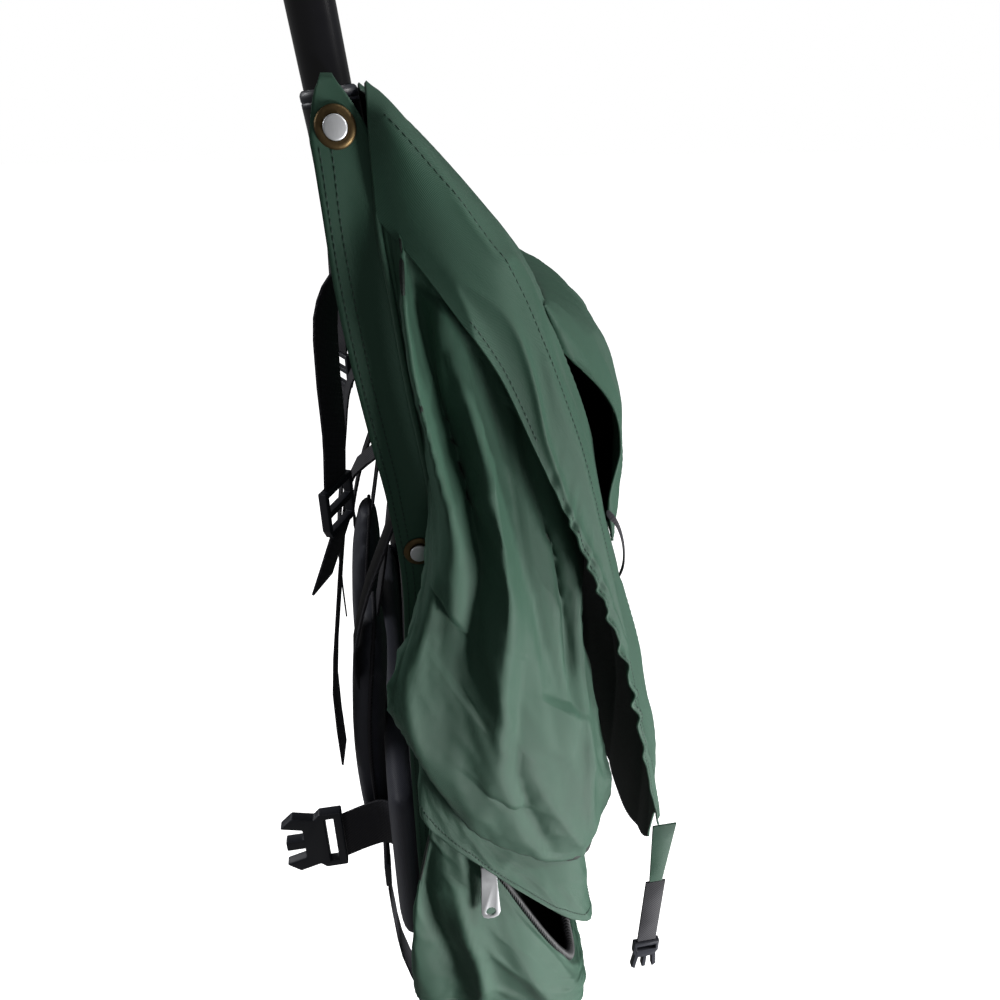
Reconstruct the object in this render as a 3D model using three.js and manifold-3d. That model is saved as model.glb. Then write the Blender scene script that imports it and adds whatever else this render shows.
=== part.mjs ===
// External frame backpack, hanging by the top bar of its frame extension. Millimetres, +Z up,
// -Y the side of the bag, +Y the side of the wearer. The origin is under the middle of the top bar.
import * as THREE from "three";
import { mergeVertices } from "three/addons/utils/BufferGeometryUtils.js";
import Module from "manifold-3d";

const wasm = await Module();
wasm.setup();

// Driving sizes of the metal frame
const RAIL_SPACING = 312; // between the centres of the side rails
const RAIL_DIAMETER = 24;
const RAIL_WALL = 1.2;
const FRAME_HEIGHT = 742; // from the top of the rails to their feet
const RAIL_BOW = 26; // how far the rails swing towards the bag at the waist
const EXTENSION_RISE = 118; // from the top of the rails to the underside of the top bar
const EXTENSION_LEAN = 15.5; // how far the rails' tops stand behind the top bar
const EXTENSION_CORNER = 52; // radius of the extension's corners
const EXTENSION_INSERT = 62; // length of extension inside each rail
const BORE_CLEARANCE = 0.9; // between the extension and the bore of the rail
const CROSS_BAR_DIAMETER = 16;
const CROSS_BAR_ARCH = 10; // how far a cross bar arches away from the wearer
const COLLAR_HEIGHT = 6.5;
const FOOT_HEIGHT = 14;
const FOOT_WALL = 2; // how far a foot stands out from the rail
const BEVEL = 1.6; // on the rims of collars and feet

// Driving sizes of the fixings
const PIN_SHAFT = 6.2;
const PIN_HEAD = 9.8;
const PIN_HEAD_HEIGHT = 1.6;
const PIN_CLEARANCE = 0.4;
const GROMMET_OUTER = 16.8;
const GROMMET_HEIGHT = 1.5;
const RING_DIAMETER = 15;
const RING_WIRE = 1.5;
const UPPER_PIN_DROP = 14; // upper pin below the top of the rails
const PIN_PITCH = 205; // from the upper pin to the lower one

// Driving sizes of the cloth
const SEAT = 0.3; // gap that separate pieces keep where they touch
const CLOTH = 1.4; // thickness of the bag cloth with its seams
const HEM_REACH = 11.5; // the flange's free edge behind the centre of the rail
const FLANGE_WIDTH = 25; // from the free edge to the piped seam
const SEAM_RISE = 14; // how far the piped seam stands out from the flange
const BAG_DEPTH = 130;
const BAG_BULGE = 42; // how far the empty bag sags out beyond the rails
const BAG_HEIGHT = 680; // from the top of the rails to the bottom of the bag
const FOLD_DEPTH = 9; // height of the main folds
const LID_LENGTH = 485; // height from the lid's top seam to its lower corners
const LID_REACH = 185; // how far the lid's lower corners hang in front of its top seam
const LID_CROWN = 36; // how far the lid's middle stands in front of its edges
const LID_TIP = 150; // how far the lid's lower edge hangs below its corners in the middle
const RUFFLE = 2.2; // height of the elastic gathers
const POCKET_RISE = 34; // height of the map pocket above the lid
const FLAP_GAP = 1.2; // between the storm flap and the bag under it

// Driving sizes of the harness
const HARNESS_SPACING = 150; // between the shoulder straps
const PAD_WIDTH = 58;
const PAD_THICKNESS = 15;
const PAD_LENGTH = 0.318 * FRAME_HEIGHT;
const PAD_DROP = 0.435 * FRAME_HEIGHT; // upper end of the pad below the top of the rails
const STRAP_WIDTH = 25;
const STRAP_THICKNESS = 1.6;
const HIP_WIDTH = 48;
const BAND_HEIGHT = 150;
const BAND_THICKNESS = 12;
const BAND_DROP = 0.566 * FRAME_HEIGHT; // upper edge of the lumbar band below the top of the rails
const LIFTER_SPACING = 244; // between the two lifter straps

const TUBE_SIDES = 10;
const FACET = Math.cos(Math.PI / TUBE_SIDES); // least radius of a faceted tube, as a share of its radius
const RAIL_X = RAIL_SPACING / 2;
const RAIL_R = RAIL_DIAMETER / 2;
const EXTENSION_R = RAIL_R - RAIL_WALL - BORE_CLEARANCE;
const RAIL_TOP = -EXTENSION_RISE;
const PIN_HEIGHTS = { upper: RAIL_TOP - UPPER_PIN_DROP, lower: RAIL_TOP - UPPER_PIN_DROP - PIN_PITCH };
const FLANGE_X = RAIL_X + RAIL_R + SEAT + CLOTH / 2; // middle of the flange cloth
const SIDES = { left: -1, right: 1 };

// The centre line of a rail: down as a share of FRAME_HEIGHT, bow as a share of RAIL_BOW
const RAIL_SWEEP = [
  { down: 0, bow: 0 },
  { down: 0.03, bow: 0.11 },
  { down: 0.057, bow: 0.16 },
  { down: 0.107, bow: 0.24 },
  { down: 0.156, bow: 0.4 },
  { down: 0.206, bow: 0.61 },
  { down: 0.252, bow: 0.82 },
  { down: 0.32, bow: 1 },
  { down: 0.4, bow: 0.93 },
  { down: 0.5, bow: 0.87 },
  { down: 0.674, bow: 0.86 },
  { down: 0.84, bow: 0.9 },
  { down: 1, bow: 1.2 },
];

// The piped seam beside the flange: down as a share of BAG_HEIGHT, wide of FLANGE_WIDTH, out of SEAM_RISE
const FLANGE_SEAM = [
  { down: 0, wide: 0.84, out: 0 },
  { down: 0.035, wide: 0.9, out: 0 },
  { down: 0.075, wide: 0.84, out: 0.2 },
  { down: 0.12, wide: 0.97, out: 0.7 },
  { down: 0.18, wide: 0.96, out: 1 },
  { down: 0.245, wide: 0.94, out: 0.7 },
  { down: 0.29, wide: 0.84, out: 0 },
  { down: 0.42, wide: 0.8, out: 0 },
  { down: 1, wide: 0.8, out: 0 },
];

// The bag's sections. Out is a share of BAG_BULGE beyond the rail, fwd a share of BAG_DEPTH in front of its
// centre: the belly near the rail, the side, the front seam, the front panel beside it, the middle of the
// front. Rows past 1 turn in under the lowest fold, to the floor.
const UPPER_ROWS = [
  { row: 0, bellyOut: 0.12, bellyFwd: 0.15, sideOut: 0.02, sideFwd: 0.36, seamOut: -0.55, seamFwd: 0.66, frontFwd: 0.68, midFwd: 0.68 },
  { row: 0.2, bellyOut: 0.2, bellyFwd: 0.14, sideOut: 0.16, sideFwd: 0.36, seamOut: -0.25, seamFwd: 0.68, frontFwd: 0.74, midFwd: 0.74 },
  { row: 0.45, bellyOut: 0.26, bellyFwd: 0.1, sideOut: 0.5, sideFwd: 0.34, seamOut: 0.05, seamFwd: 0.72, frontFwd: 0.82, midFwd: 0.82 },
  { row: 0.68, bellyOut: 0.55, bellyFwd: -0.02, sideOut: 0.85, sideFwd: 0.3, seamOut: 0.3, seamFwd: 0.77, frontFwd: 0.98, midFwd: 0.96 },
  { row: 0.88, bellyOut: 0.8, bellyFwd: -0.17, sideOut: 0.92, sideFwd: 0.27, seamOut: 0.35, seamFwd: 0.82, frontFwd: 1.08, midFwd: 1.05 },
  { row: 1, bellyOut: 0.55, bellyFwd: -0.1, sideOut: 0.74, sideFwd: 0.26, seamOut: 0.2, seamFwd: 0.82, frontFwd: 1.02, midFwd: 0.98 },
  { row: 1.15, bellyOut: 0.1, bellyFwd: 0.16, sideOut: 0.2, sideFwd: 0.34, seamOut: -0.2, seamFwd: 0.74, frontFwd: 0.86, midFwd: 0.86 },
];
const LOWER_ROWS = [
  { row: 0, bellyOut: 0.16, bellyFwd: 0.03, sideOut: 0.45, sideFwd: 0.3, seamOut: 0.1, seamFwd: 0.8, frontFwd: 0.87, midFwd: 0.87 },
  { row: 0.3, bellyOut: 0.66, bellyFwd: -0.12, sideOut: 0.8, sideFwd: 0.28, seamOut: 0.36, seamFwd: 0.84, frontFwd: 0.92, midFwd: 0.92 },
  { row: 0.65, bellyOut: 0.72, bellyFwd: -0.17, sideOut: 0.9, sideFwd: 0.27, seamOut: 0.4, seamFwd: 0.83, frontFwd: 0.93, midFwd: 0.93 },
  { row: 1, bellyOut: 0.3, bellyFwd: -0.06, sideOut: 0.45, sideFwd: 0.27, seamOut: 0.05, seamFwd: 0.76, frontFwd: 0.84, midFwd: 0.84 },
  { row: 1.04, bellyOut: 0, bellyFwd: 0.16, sideOut: 0.05, sideFwd: 0.34, seamOut: -0.3, seamFwd: 0.66, frontFwd: 0.72, midFwd: 0.72 },
];
const FLAP_ROWS = [
  { row: 0, bellyOut: 0.2, bellyFwd: -0.02, sideOut: 0.5, sideFwd: 0.27, seamOut: 0.12, seamFwd: 0.8, frontFwd: 0.87, midFwd: 0.87 },
  { row: 1, bellyOut: 0.5, bellyFwd: -0.06, sideOut: 0.72, sideFwd: 0.3, seamOut: 0.4, seamFwd: 0.87, frontFwd: 0.94, midFwd: 0.94 },
];

// Heights of the first and lowest edge of each bag piece at those places, as shares of BAG_HEIGHT
const UPPER_EDGES = {
  back: { top: 0.035, low: 0.62 },
  corner: { top: 0.045, low: 0.6 },
  piping: { top: 0.1, low: 0.52 },
  belly: { top: 0.11, low: 0.474 },
  side: { top: 0.14, low: 0.625 },
  seam: { top: 0.26, low: 0.72 },
  front: { top: 0.3, low: 0.735 },
  mid: { top: 0.31, low: 0.76 },
};
const LOWER_EDGES = {
  back: { top: 0.66, low: 0.98 },
  corner: { top: 0.64, low: 0.98 },
  piping: { top: 0.6, low: 0.97 },
  belly: { top: 0.6, low: 0.97 },
  side: { top: 0.7, low: 0.985 },
  seam: { top: 0.92, low: 0.99 },
  front: { top: 0.955, low: 0.995 },
  mid: { top: 0.955, low: 1 },
};
const FLAP_EDGES = {
  back: { top: 0.496, low: 0.56 },
  corner: { top: 0.496, low: 0.56 },
  piping: { top: 0.496, low: 0.56 },
  belly: { top: 0.493, low: 0.588 },
  side: { top: 0.637, low: 0.683 },
  seam: { top: 0.738, low: 0.815 },
  front: { top: 0.752, low: 0.85 },
  mid: { top: 0.775, low: 0.855 },
};

// The lid from its top seam, row 0, to its lower edge, row 1: the crease at its side, the lower edge of
// its side band and the crown of its middle. Fwd is a share of LID_REACH, down of LID_LENGTH.
const LID_ROWS = [
  { row: 0, creaseFwd: 0.06, creaseDown: 0.005, bandFwd: 0.062, bandDown: 0.1, crown: 0.06, out: 0.1, in: 0.02 },
  { row: 0.1, creaseFwd: 0.14, creaseDown: 0.035, bandFwd: 0.15, bandDown: 0.14, crown: 0.2, out: 0.28, in: 0.02 },
  { row: 0.2, creaseFwd: 0.31, creaseDown: 0.115, bandFwd: 0.235, bandDown: 0.185, crown: 0.35, out: 0.4, in: 0.04 },
  { row: 0.3, creaseFwd: 0.41, creaseDown: 0.17, bandFwd: 0.34, bandDown: 0.245, crown: 0.45, out: 0.42, in: 0.05 },
  { row: 0.4, creaseFwd: 0.49, creaseDown: 0.25, bandFwd: 0.43, bandDown: 0.32, crown: 0.6, out: 0.42, in: 0.06 },
  { row: 0.5, creaseFwd: 0.575, creaseDown: 0.34, bandFwd: 0.515, bandDown: 0.395, crown: 0.7, out: 0.4, in: 0.07 },
  { row: 0.6, creaseFwd: 0.65, creaseDown: 0.44, bandFwd: 0.6, bandDown: 0.475, crown: 0.8, out: 0.36, in: 0.08 },
  { row: 0.7, creaseFwd: 0.73, creaseDown: 0.545, bandFwd: 0.69, bandDown: 0.56, crown: 0.85, out: 0.28, in: 0.1 },
  { row: 0.8, creaseFwd: 0.84, creaseDown: 0.685, bandFwd: 0.8, bandDown: 0.69, crown: 1.05, out: 0.16, in: 0.12 },
  { row: 0.9, creaseFwd: 0.94, creaseDown: 0.835, bandFwd: 0.9, bandDown: 0.835, crown: 1.2, out: 0.08, in: 0.14 },
  { row: 1, creaseFwd: 1.04, creaseDown: 1.02, bandFwd: 1, bandDown: 0.985, crown: 0.75, out: 0.04, in: 0.15 },
];

// Main folds of the upper bag: place is counted along the half loop from the back, 0, to the middle of the
// front, 7, and row from the mouth to the lowest fold. High is a share of FOLD_DEPTH.
const UPPER_FOLDS = [
  { place: 3.1, row: 0.05, toPlace: 3.5, toRow: 0.9, high: 1, wide: 0.16 },
  { place: 3.5, row: 0.1, toPlace: 4.05, toRow: 0.95, high: -0.9, wide: 0.18 },
  { place: 3.8, row: 0.1, toPlace: 4.35, toRow: 0.8, high: 1.1, wide: 0.16 },
  { place: 4.5, row: 0.15, toPlace: 4.8, toRow: 0.6, high: -0.8, wide: 0.2 },
  { place: 5.3, row: 0.4, toPlace: 5.6, toRow: 0.95, high: 0.6, wide: 0.2 },
];
const LOWER_FOLDS = [
  { place: 3.2, row: 0.1, toPlace: 3.6, toRow: 0.7, high: -0.7, wide: 0.2 },
  { place: 4.3, row: 0.05, toPlace: 4.7, toRow: 0.8, high: 0.5, wide: 0.25 },
];

const clamp = THREE.MathUtils.clamp;
const mix = THREE.MathUtils.lerp;

// A smooth curve through one column of a table, as a function of its first column
function through(rows, at, column) {
  return (where) => {
    const last = rows.length - 1;
    let i = 0;
    while (i < last - 1 && where > rows[i + 1][at]) i += 1;
    const [a, b] = [rows[i], rows[i + 1]];
    const before = rows[Math.max(i - 1, 0)];
    const after = rows[Math.min(i + 2, last)];
    const span = b[at] - a[at];
    const t = clamp((where - a[at]) / span, 0, 1);
    const startSlope = ((b[column] - before[column]) / (b[at] - before[at])) * span;
    const endSlope = ((after[column] - a[column]) / (after[at] - a[at])) * span;
    const rise = b[column] - a[column];
    const bend = startSlope + endSlope - 2 * rise;
    return a[column] + t * (startSlope + t * (3 * rise - 2 * startSlope - endSlope + t * bend));
  };
}

const railBow = through(RAIL_SWEEP, "down", "bow");
const railY = (z) => -EXTENSION_LEAN - RAIL_BOW * railBow((RAIL_TOP - z) / FRAME_HEIGHT);
const bagZ = (share) => RAIL_TOP - share * BAG_HEIGHT;

// Manifold solids to and from geometries
function solidOf(geometry) {
  const bare = geometry.clone();
  bare.deleteAttribute("normal");
  bare.deleteAttribute("uv");
  const merged = mergeVertices(bare, 1e-3);
  return new wasm.Manifold(
    new wasm.Mesh({
      numProp: 3,
      vertProperties: merged.attributes.position.array,
      triVerts: new Uint32Array(merged.index.array),
    }),
  );
}

function geometryOf(solid) {
  const mesh = solid.getMesh();
  const geometry = new THREE.BufferGeometry();
  geometry.setAttribute("position", new THREE.BufferAttribute(new Float32Array(mesh.vertProperties), 3));
  geometry.setIndex(new THREE.BufferAttribute(new Uint32Array(mesh.triVerts), 1));
  geometry.computeVertexNormals();
  return geometry;
}

// Turns a closed surface the right way round, by the sign of its volume
function facingOut(positions, index) {
  const [a, b, c] = [new THREE.Vector3(), new THREE.Vector3(), new THREE.Vector3()];
  let volume = 0;
  for (let i = 0; i < index.length; i += 3) {
    a.fromArray(positions, 3 * index[i]);
    b.fromArray(positions, 3 * index[i + 1]);
    c.fromArray(positions, 3 * index[i + 2]);
    volume += a.dot(b.cross(c));
  }
  if (volume < 0) index.reverse();
  const geometry = new THREE.BufferGeometry();
  geometry.setAttribute("position", new THREE.Float32BufferAttribute(positions, 3));
  geometry.setIndex(index);
  geometry.computeVertexNormals();
  return geometry;
}

// A sheet of cloth of thickness wall round the surface at(u, v). With loop it closes on itself along u,
// and with floor its last row is closed by a fan, which leaves a bag that is open at its first row.
function cloth(at, across, down, wall, { loop = false, floor = false } = {}) {
  const columns = loop ? across : across + 1;
  const rows = down + 1;
  const step = 1e-3;
  const positions = [];
  const side = (sign) => {
    for (let j = 0; j < rows; j += 1)
      for (let i = 0; i < columns; i += 1) {
        const [u, v] = [i / across, j / down];
        const du = at(loop ? u + step : Math.min(u + step, 1), v).sub(at(loop ? u - step : Math.max(u - step, 0), v));
        const dv = at(u, Math.min(v + step, 1)).sub(at(u, Math.max(v - step, 0)));
        const normal = du.cross(dv).normalize();
        positions.push(...at(u, v).addScaledVector(normal, (sign * wall) / 2).toArray());
      }
  };
  side(1);
  side(-1);
  const back = columns * rows;
  const index = [];
  const quad = (a, b, c, d) => index.push(a, b, c, a, c, d);
  const cell = (j, i) => j * columns + (i % columns);
  for (let j = 0; j < down; j += 1)
    for (let i = 0; i < across; i += 1) {
      const [a, b, c, d] = [cell(j, i), cell(j, i + 1), cell(j + 1, i + 1), cell(j + 1, i)];
      quad(a, d, c, b);
      quad(back + a, back + b, back + c, back + d);
    }
  for (let i = 0; i < across; i += 1) {
    quad(cell(0, i), cell(0, i + 1), back + cell(0, i + 1), back + cell(0, i));
    if (!floor) quad(cell(down, i + 1), cell(down, i), back + cell(down, i), back + cell(down, i + 1));
  }
  if (!loop)
    for (let j = 0; j < down; j += 1) {
      quad(cell(j + 1, 0), cell(j, 0), back + cell(j, 0), back + cell(j + 1, 0));
      quad(cell(j, across), cell(j + 1, across), back + cell(j + 1, across), back + cell(j, across));
    }
  if (floor)
    for (const layer of [0, back]) {
      const middle = new THREE.Vector3();
      for (let i = 0; i < columns; i += 1)
        middle.add(new THREE.Vector3().fromArray(positions, 3 * (layer + cell(down, i))));
      const hub = positions.length / 3;
      positions.push(...middle.divideScalar(columns).toArray());
      for (let i = 0; i < across; i += 1) {
        const edge = [layer + cell(down, i), layer + cell(down, i + 1)];
        if (layer) index.push(edge[0], edge[1], hub);
        else index.push(edge[1], edge[0], hub);
      }
    }
  return facingOut(positions, index);
}

// A round bar or tube along a path
function tube(points, radius, steps, bore = 0) {
  const section = new THREE.Shape().absarc(0, 0, radius, 0, 2 * Math.PI);
  if (bore) section.holes.push(new THREE.Path().absarc(0, 0, bore, 0, 2 * Math.PI, true));
  const path = new THREE.CatmullRomCurve3(points);
  return new THREE.ExtrudeGeometry(section, { steps, extrudePath: path, curveSegments: TUBE_SIDES / 2 });
}

// A flat strap: each station has a centre, and side(t) is the direction of its width
function webbing(stations, side, width, steps, thickness = STRAP_THICKNESS) {
  const path = new THREE.CatmullRomCurve3(stations, false, "centripetal");
  const at = (u, v) => path.getPoint(v).addScaledVector(side(v), (u - 0.5) * width);
  return cloth(at, 1, steps, thickness);
}

const pack = new THREE.Group();
const FINISHES = {
  black_tube: { color: 0x0b0b0d, roughness: 0.22, metalness: 0.3 },
  black_plastic: { color: 0x131416, roughness: 0.45, metalness: 0 },
  green_cloth: { color: 0x1f3d30, roughness: 0.75, metalness: 0 },
  black_webbing: { color: 0x1b1b22, roughness: 0.8, metalness: 0 },
  navy_padding: { color: 0x20222e, roughness: 0.7, metalness: 0 },
  aged_brass: { color: 0x7a6540, roughness: 0.4, metalness: 0.9 },
  steel: { color: 0xb8babb, roughness: 0.35, metalness: 0.9 },
};

function add(name, geometry, finish) {
  const mesh = new THREE.Mesh(geometry, new THREE.MeshStandardMaterial(FINISHES[finish]));
  mesh.name = name;
  pack.add(mesh);
}

// A disc, tapered bar or pin whose axis lies along X, between two distances from the middle
function axle(side, from, to, radius, y, z, sides = TUBE_SIDES) {
  const bar = new THREE.CylinderGeometry(radius, radius, to - from, sides);
  bar.rotateZ(Math.PI / 2);
  bar.translate((side * (from + to)) / 2, y, z);
  return bar;
}

// A rail's plastic foot
function footOf(side) {
  const end = RAIL_TOP - FRAME_HEIGHT;
  const toe = RAIL_R + FOOT_WALL;
  const profile = [
    [0, -FOOT_HEIGHT],
    [toe - BEVEL, -FOOT_HEIGHT],
    [toe, BEVEL - FOOT_HEIGHT],
    [toe, FOOT_WALL - BEVEL],
    [toe - BEVEL, FOOT_WALL],
    [0, FOOT_WALL],
  ].map(([x, y]) => new THREE.Vector2(x, y));
  const foot = new THREE.LatheGeometry(profile, TUBE_SIDES);
  const tilt = (railY(end) - railY(end + RAIL_DIAMETER)) / RAIL_DIAMETER;
  foot.rotateX(Math.PI / 2 + tilt);
  foot.translate(side * RAIL_X, railY(end), end);
  return solidOf(foot);
}

// Rails with their feet, bored for the pins
function railPoints(side) {
  const stations = 24;
  return Array.from({ length: stations + 1 }, (_, i) => {
    const top = COLLAR_HEIGHT + 2 * SEAT;
    const z = RAIL_TOP - top - (i / stations) * (FRAME_HEIGHT - top);
    return new THREE.Vector3(side * RAIL_X, railY(z), z);
  });
}

const RAIL_STEPS = 15;
function makeRails() {
  for (const [label, side] of Object.entries(SIDES)) {
    let rail = solidOf(tube(railPoints(side), RAIL_R, RAIL_STEPS, RAIL_R - RAIL_WALL));
    for (const z of Object.values(PIN_HEIGHTS)) {
      const hole = PIN_SHAFT / 2 + PIN_CLEARANCE;
      rail = rail.subtract(solidOf(axle(side, RAIL_X - RAIL_DIAMETER, RAIL_X + RAIL_DIAMETER, hole, railY(z), z)));
    }
    add(`rail_${label}`, geometryOf(rail.add(footOf(side))), "black_tube");
  }
}

// The extension: a leg in each rail, leaning legs above them and the top bar
function makeExtension() {
  const barZ = EXTENSION_R;
  const lean = (z) => (-EXTENSION_LEAN * (barZ - z)) / (barZ - RAIL_TOP);
  const leg = [];
  const insertSteps = 4;
  for (let i = 0; i < insertSteps; i += 1) {
    const z = RAIL_TOP - EXTENSION_INSERT * (1 - i / insertSteps);
    leg.push(new THREE.Vector3(RAIL_X, railY(z), z));
  }
  leg.push(new THREE.Vector3(RAIL_X, lean(RAIL_TOP), RAIL_TOP));
  leg.push(new THREE.Vector3(RAIL_X, lean((barZ - EXTENSION_CORNER + RAIL_TOP) / 2), (barZ - EXTENSION_CORNER + RAIL_TOP) / 2));
  const turnSteps = 6;
  for (let i = 0; i <= turnSteps; i += 1) {
    const turn = ((i / turnSteps) * Math.PI) / 2;
    const z = barZ - EXTENSION_CORNER * (1 - Math.sin(turn));
    const x = RAIL_X - EXTENSION_CORNER * (1 - Math.cos(turn));
    leg.push(new THREE.Vector3(x, lean(z), z));
  }
  const bar = [...leg, new THREE.Vector3(0, 0, barZ)];
  const other = leg.toReversed().map((p) => new THREE.Vector3(-p.x, p.y, p.z));
  let solid = solidOf(tube([...bar, ...other], EXTENSION_R, 38));
  for (const side of Object.values(SIDES)) {
    const z = PIN_HEIGHTS.upper;
    const hole = PIN_SHAFT / 2 + PIN_CLEARANCE;
    solid = solid.subtract(solidOf(axle(side, RAIL_X - RAIL_DIAMETER, RAIL_X + RAIL_DIAMETER, hole, railY(z), z)));
  }
  add("extension_bar", geometryOf(solid), "black_tube");
}

// Collars on the rails' tops, with a bevelled rim
function makeEnds() {
  const lean = EXTENSION_LEAN / EXTENSION_RISE;
  for (const [label, side] of Object.entries(SIDES)) {
    const hole = EXTENSION_R + BORE_CLEARANCE;
    const profile = [
      [hole, 0],
      [RAIL_R, 0],
      [RAIL_R, COLLAR_HEIGHT - BEVEL],
      [RAIL_R - BEVEL, COLLAR_HEIGHT],
      [hole, COLLAR_HEIGHT],
      [hole, 0],
    ].map(([x, y]) => new THREE.Vector2(x, y));
    const collar = new THREE.LatheGeometry(profile, TUBE_SIDES);
    collar.rotateX(Math.PI / 2 - lean);
    collar.translate(side * RAIL_X, railY(RAIL_TOP - COLLAR_HEIGHT), RAIL_TOP - COLLAR_HEIGHT);
    add(`rail_collar_${label}`, collar, "black_plastic");
  }
}

// Cross bars, coped where they meet the rails: down as a share of FRAME_HEIGHT
const CROSS_BARS = [
  { name: "cross_bar_top", down: 0.115 },
  { name: "cross_bar_shoulder", down: 0.245 },
  { name: "cross_bar_waist", down: 0.62 },
  { name: "cross_bar_low", down: 0.93 },
];
const crossBarZ = (name) => RAIL_TOP - FRAME_HEIGHT * CROSS_BARS.find((bar) => bar.name === name).down;
const crossBarY = (name, x) => railY(crossBarZ(name)) - CROSS_BAR_ARCH * (1 - (x / RAIL_X) ** 2);

function makeCrossBars() {
  const copes = Object.values(SIDES).map((side) => solidOf(tube(railPoints(side), RAIL_R + SEAT, RAIL_STEPS)));
  for (const { name } of CROSS_BARS) {
    const steps = 6;
    const points = Array.from({ length: steps + 1 }, (_, i) => {
      const x = RAIL_X * ((2 * i) / steps - 1);
      return new THREE.Vector3(x, crossBarY(name, x), crossBarZ(name));
    });
    const bar = solidOf(tube(points, CROSS_BAR_DIAMETER / 2, steps)).subtract(copes[0]).subtract(copes[1]);
    const longest = bar.decompose().sort((a, b) => b.volume() - a.volume())[0];
    add(name, geometryOf(longest), "black_tube");
  }
}

// Clevis pins with a split ring through the shaft inside the rail, and the brass grommets they pass
function makePins() {
  const clothFace = FLANGE_X + CLOTH / 2;
  for (const [label, side] of Object.entries(SIDES))
    for (const [level, z] of Object.entries(PIN_HEIGHTS)) {
      const y = railY(z);
      const headFrom = clothFace + SEAT + GROMMET_HEIGHT + SEAT;
      const inner = RAIL_X - RAIL_R - RING_WIRE - SEAT;
      const shaft = axle(side, inner - RING_WIRE, headFrom + PIN_HEAD_HEIGHT / 2, PIN_SHAFT / 2, y, z);
      const head = axle(side, headFrom, headFrom + PIN_HEAD_HEIGHT, PIN_HEAD / 2, y, z);
      const ring = new THREE.TorusGeometry(RING_DIAMETER / 2, RING_WIRE / 2, 4, 10);
      ring.rotateY(Math.PI / 2);
      ring.translate(side * inner, y, z - RING_DIAMETER / 2);
      add(`pin_${level}_${label}`, geometryOf(solidOf(shaft).add(solidOf(head)).add(solidOf(ring))), "steel");

      const [bore, lip] = [PIN_SHAFT / 2 + PIN_CLEARANCE, PIN_SHAFT / 2 + 2 * PIN_CLEARANCE + SEAT];
      const base = SEAT;
      const profile = [
        [bore, -CLOTH],
        [lip, -CLOTH],
        [lip, base],
        [GROMMET_OUTER / 2, base],
        [GROMMET_OUTER / 2 - 0.25 * GROMMET_HEIGHT, base + 0.8 * GROMMET_HEIGHT],
        [0.5 * (GROMMET_OUTER / 2 + bore), base + GROMMET_HEIGHT],
        [bore + 0.6 * GROMMET_HEIGHT, base + 0.75 * GROMMET_HEIGHT],
        [bore, base + 0.3 * GROMMET_HEIGHT],
        [bore, -CLOTH],
      ].map(([x, h]) => new THREE.Vector2(x, h));
      const grommet = new THREE.LatheGeometry(profile, TUBE_SIDES);
      grommet.rotateZ((-side * Math.PI) / 2);
      grommet.translate(side * clothFace, y, z);
      add(`grommet_${level}_${label}`, grommet, "aged_brass");
    }
}

// Flanges on the outside of the rails, with a pointed tab over the collar
const seamWide = through(FLANGE_SEAM, "down", "wide");
const seamOut = through(FLANGE_SEAM, "down", "out");
const seamY = (z) => {
  const down = (RAIL_TOP - z) / BAG_HEIGHT;
  return railY(z) + HEM_REACH - FLANGE_WIDTH * seamWide(down);
};
const seamX = (z) => FLANGE_X + SEAM_RISE * Math.max(0, seamOut((RAIL_TOP - z) / BAG_HEIGHT));

function flangeAt(side) {
  const tab = 0.04;
  const tipRise = 5;
  return (u, v) => {
    const z = mix(RAIL_TOP + tipRise, bagZ(0.97), v);
    const open = clamp(v / tab, 0.1, 1);
    const [hem, seam] = [railY(z) + HEM_REACH, seamY(z)];
    const tip = railY(z);
    const y = mix(tip, mix(hem, seam, u), open);
    const x = mix(FLANGE_X, seamX(z), clamp((u - 0.45) / 0.55, 0, 1) ** 1.5);
    return new THREE.Vector3(side * x, y, z);
  };
}

function makeFlanges() {
  for (const [label, side] of Object.entries(SIDES)) {
    let flange = solidOf(cloth(flangeAt(side), 3, 20, CLOTH));
    for (const z of Object.values(PIN_HEIGHTS)) {
      const hole = PIN_SHAFT / 2 + 2 * PIN_CLEARANCE + 2 * SEAT;
      flange = flange.subtract(solidOf(axle(side, FLANGE_X - 2 * CLOTH, FLANGE_X + 2 * CLOTH, hole, railY(z), z)));
    }
    add(`flange_${label}`, geometryOf(flange), "green_cloth");
  }
}

// A closed loop round a bag at one height share. Places 0 to 7 run from the middle of the back to the
// middle of the front: back, corner behind the rail, piped seam, belly, side, front seam, front, middle.
const PLACES = ["back", "corner", "piping", "belly", "side", "seam", "front", "mid"];

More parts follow.
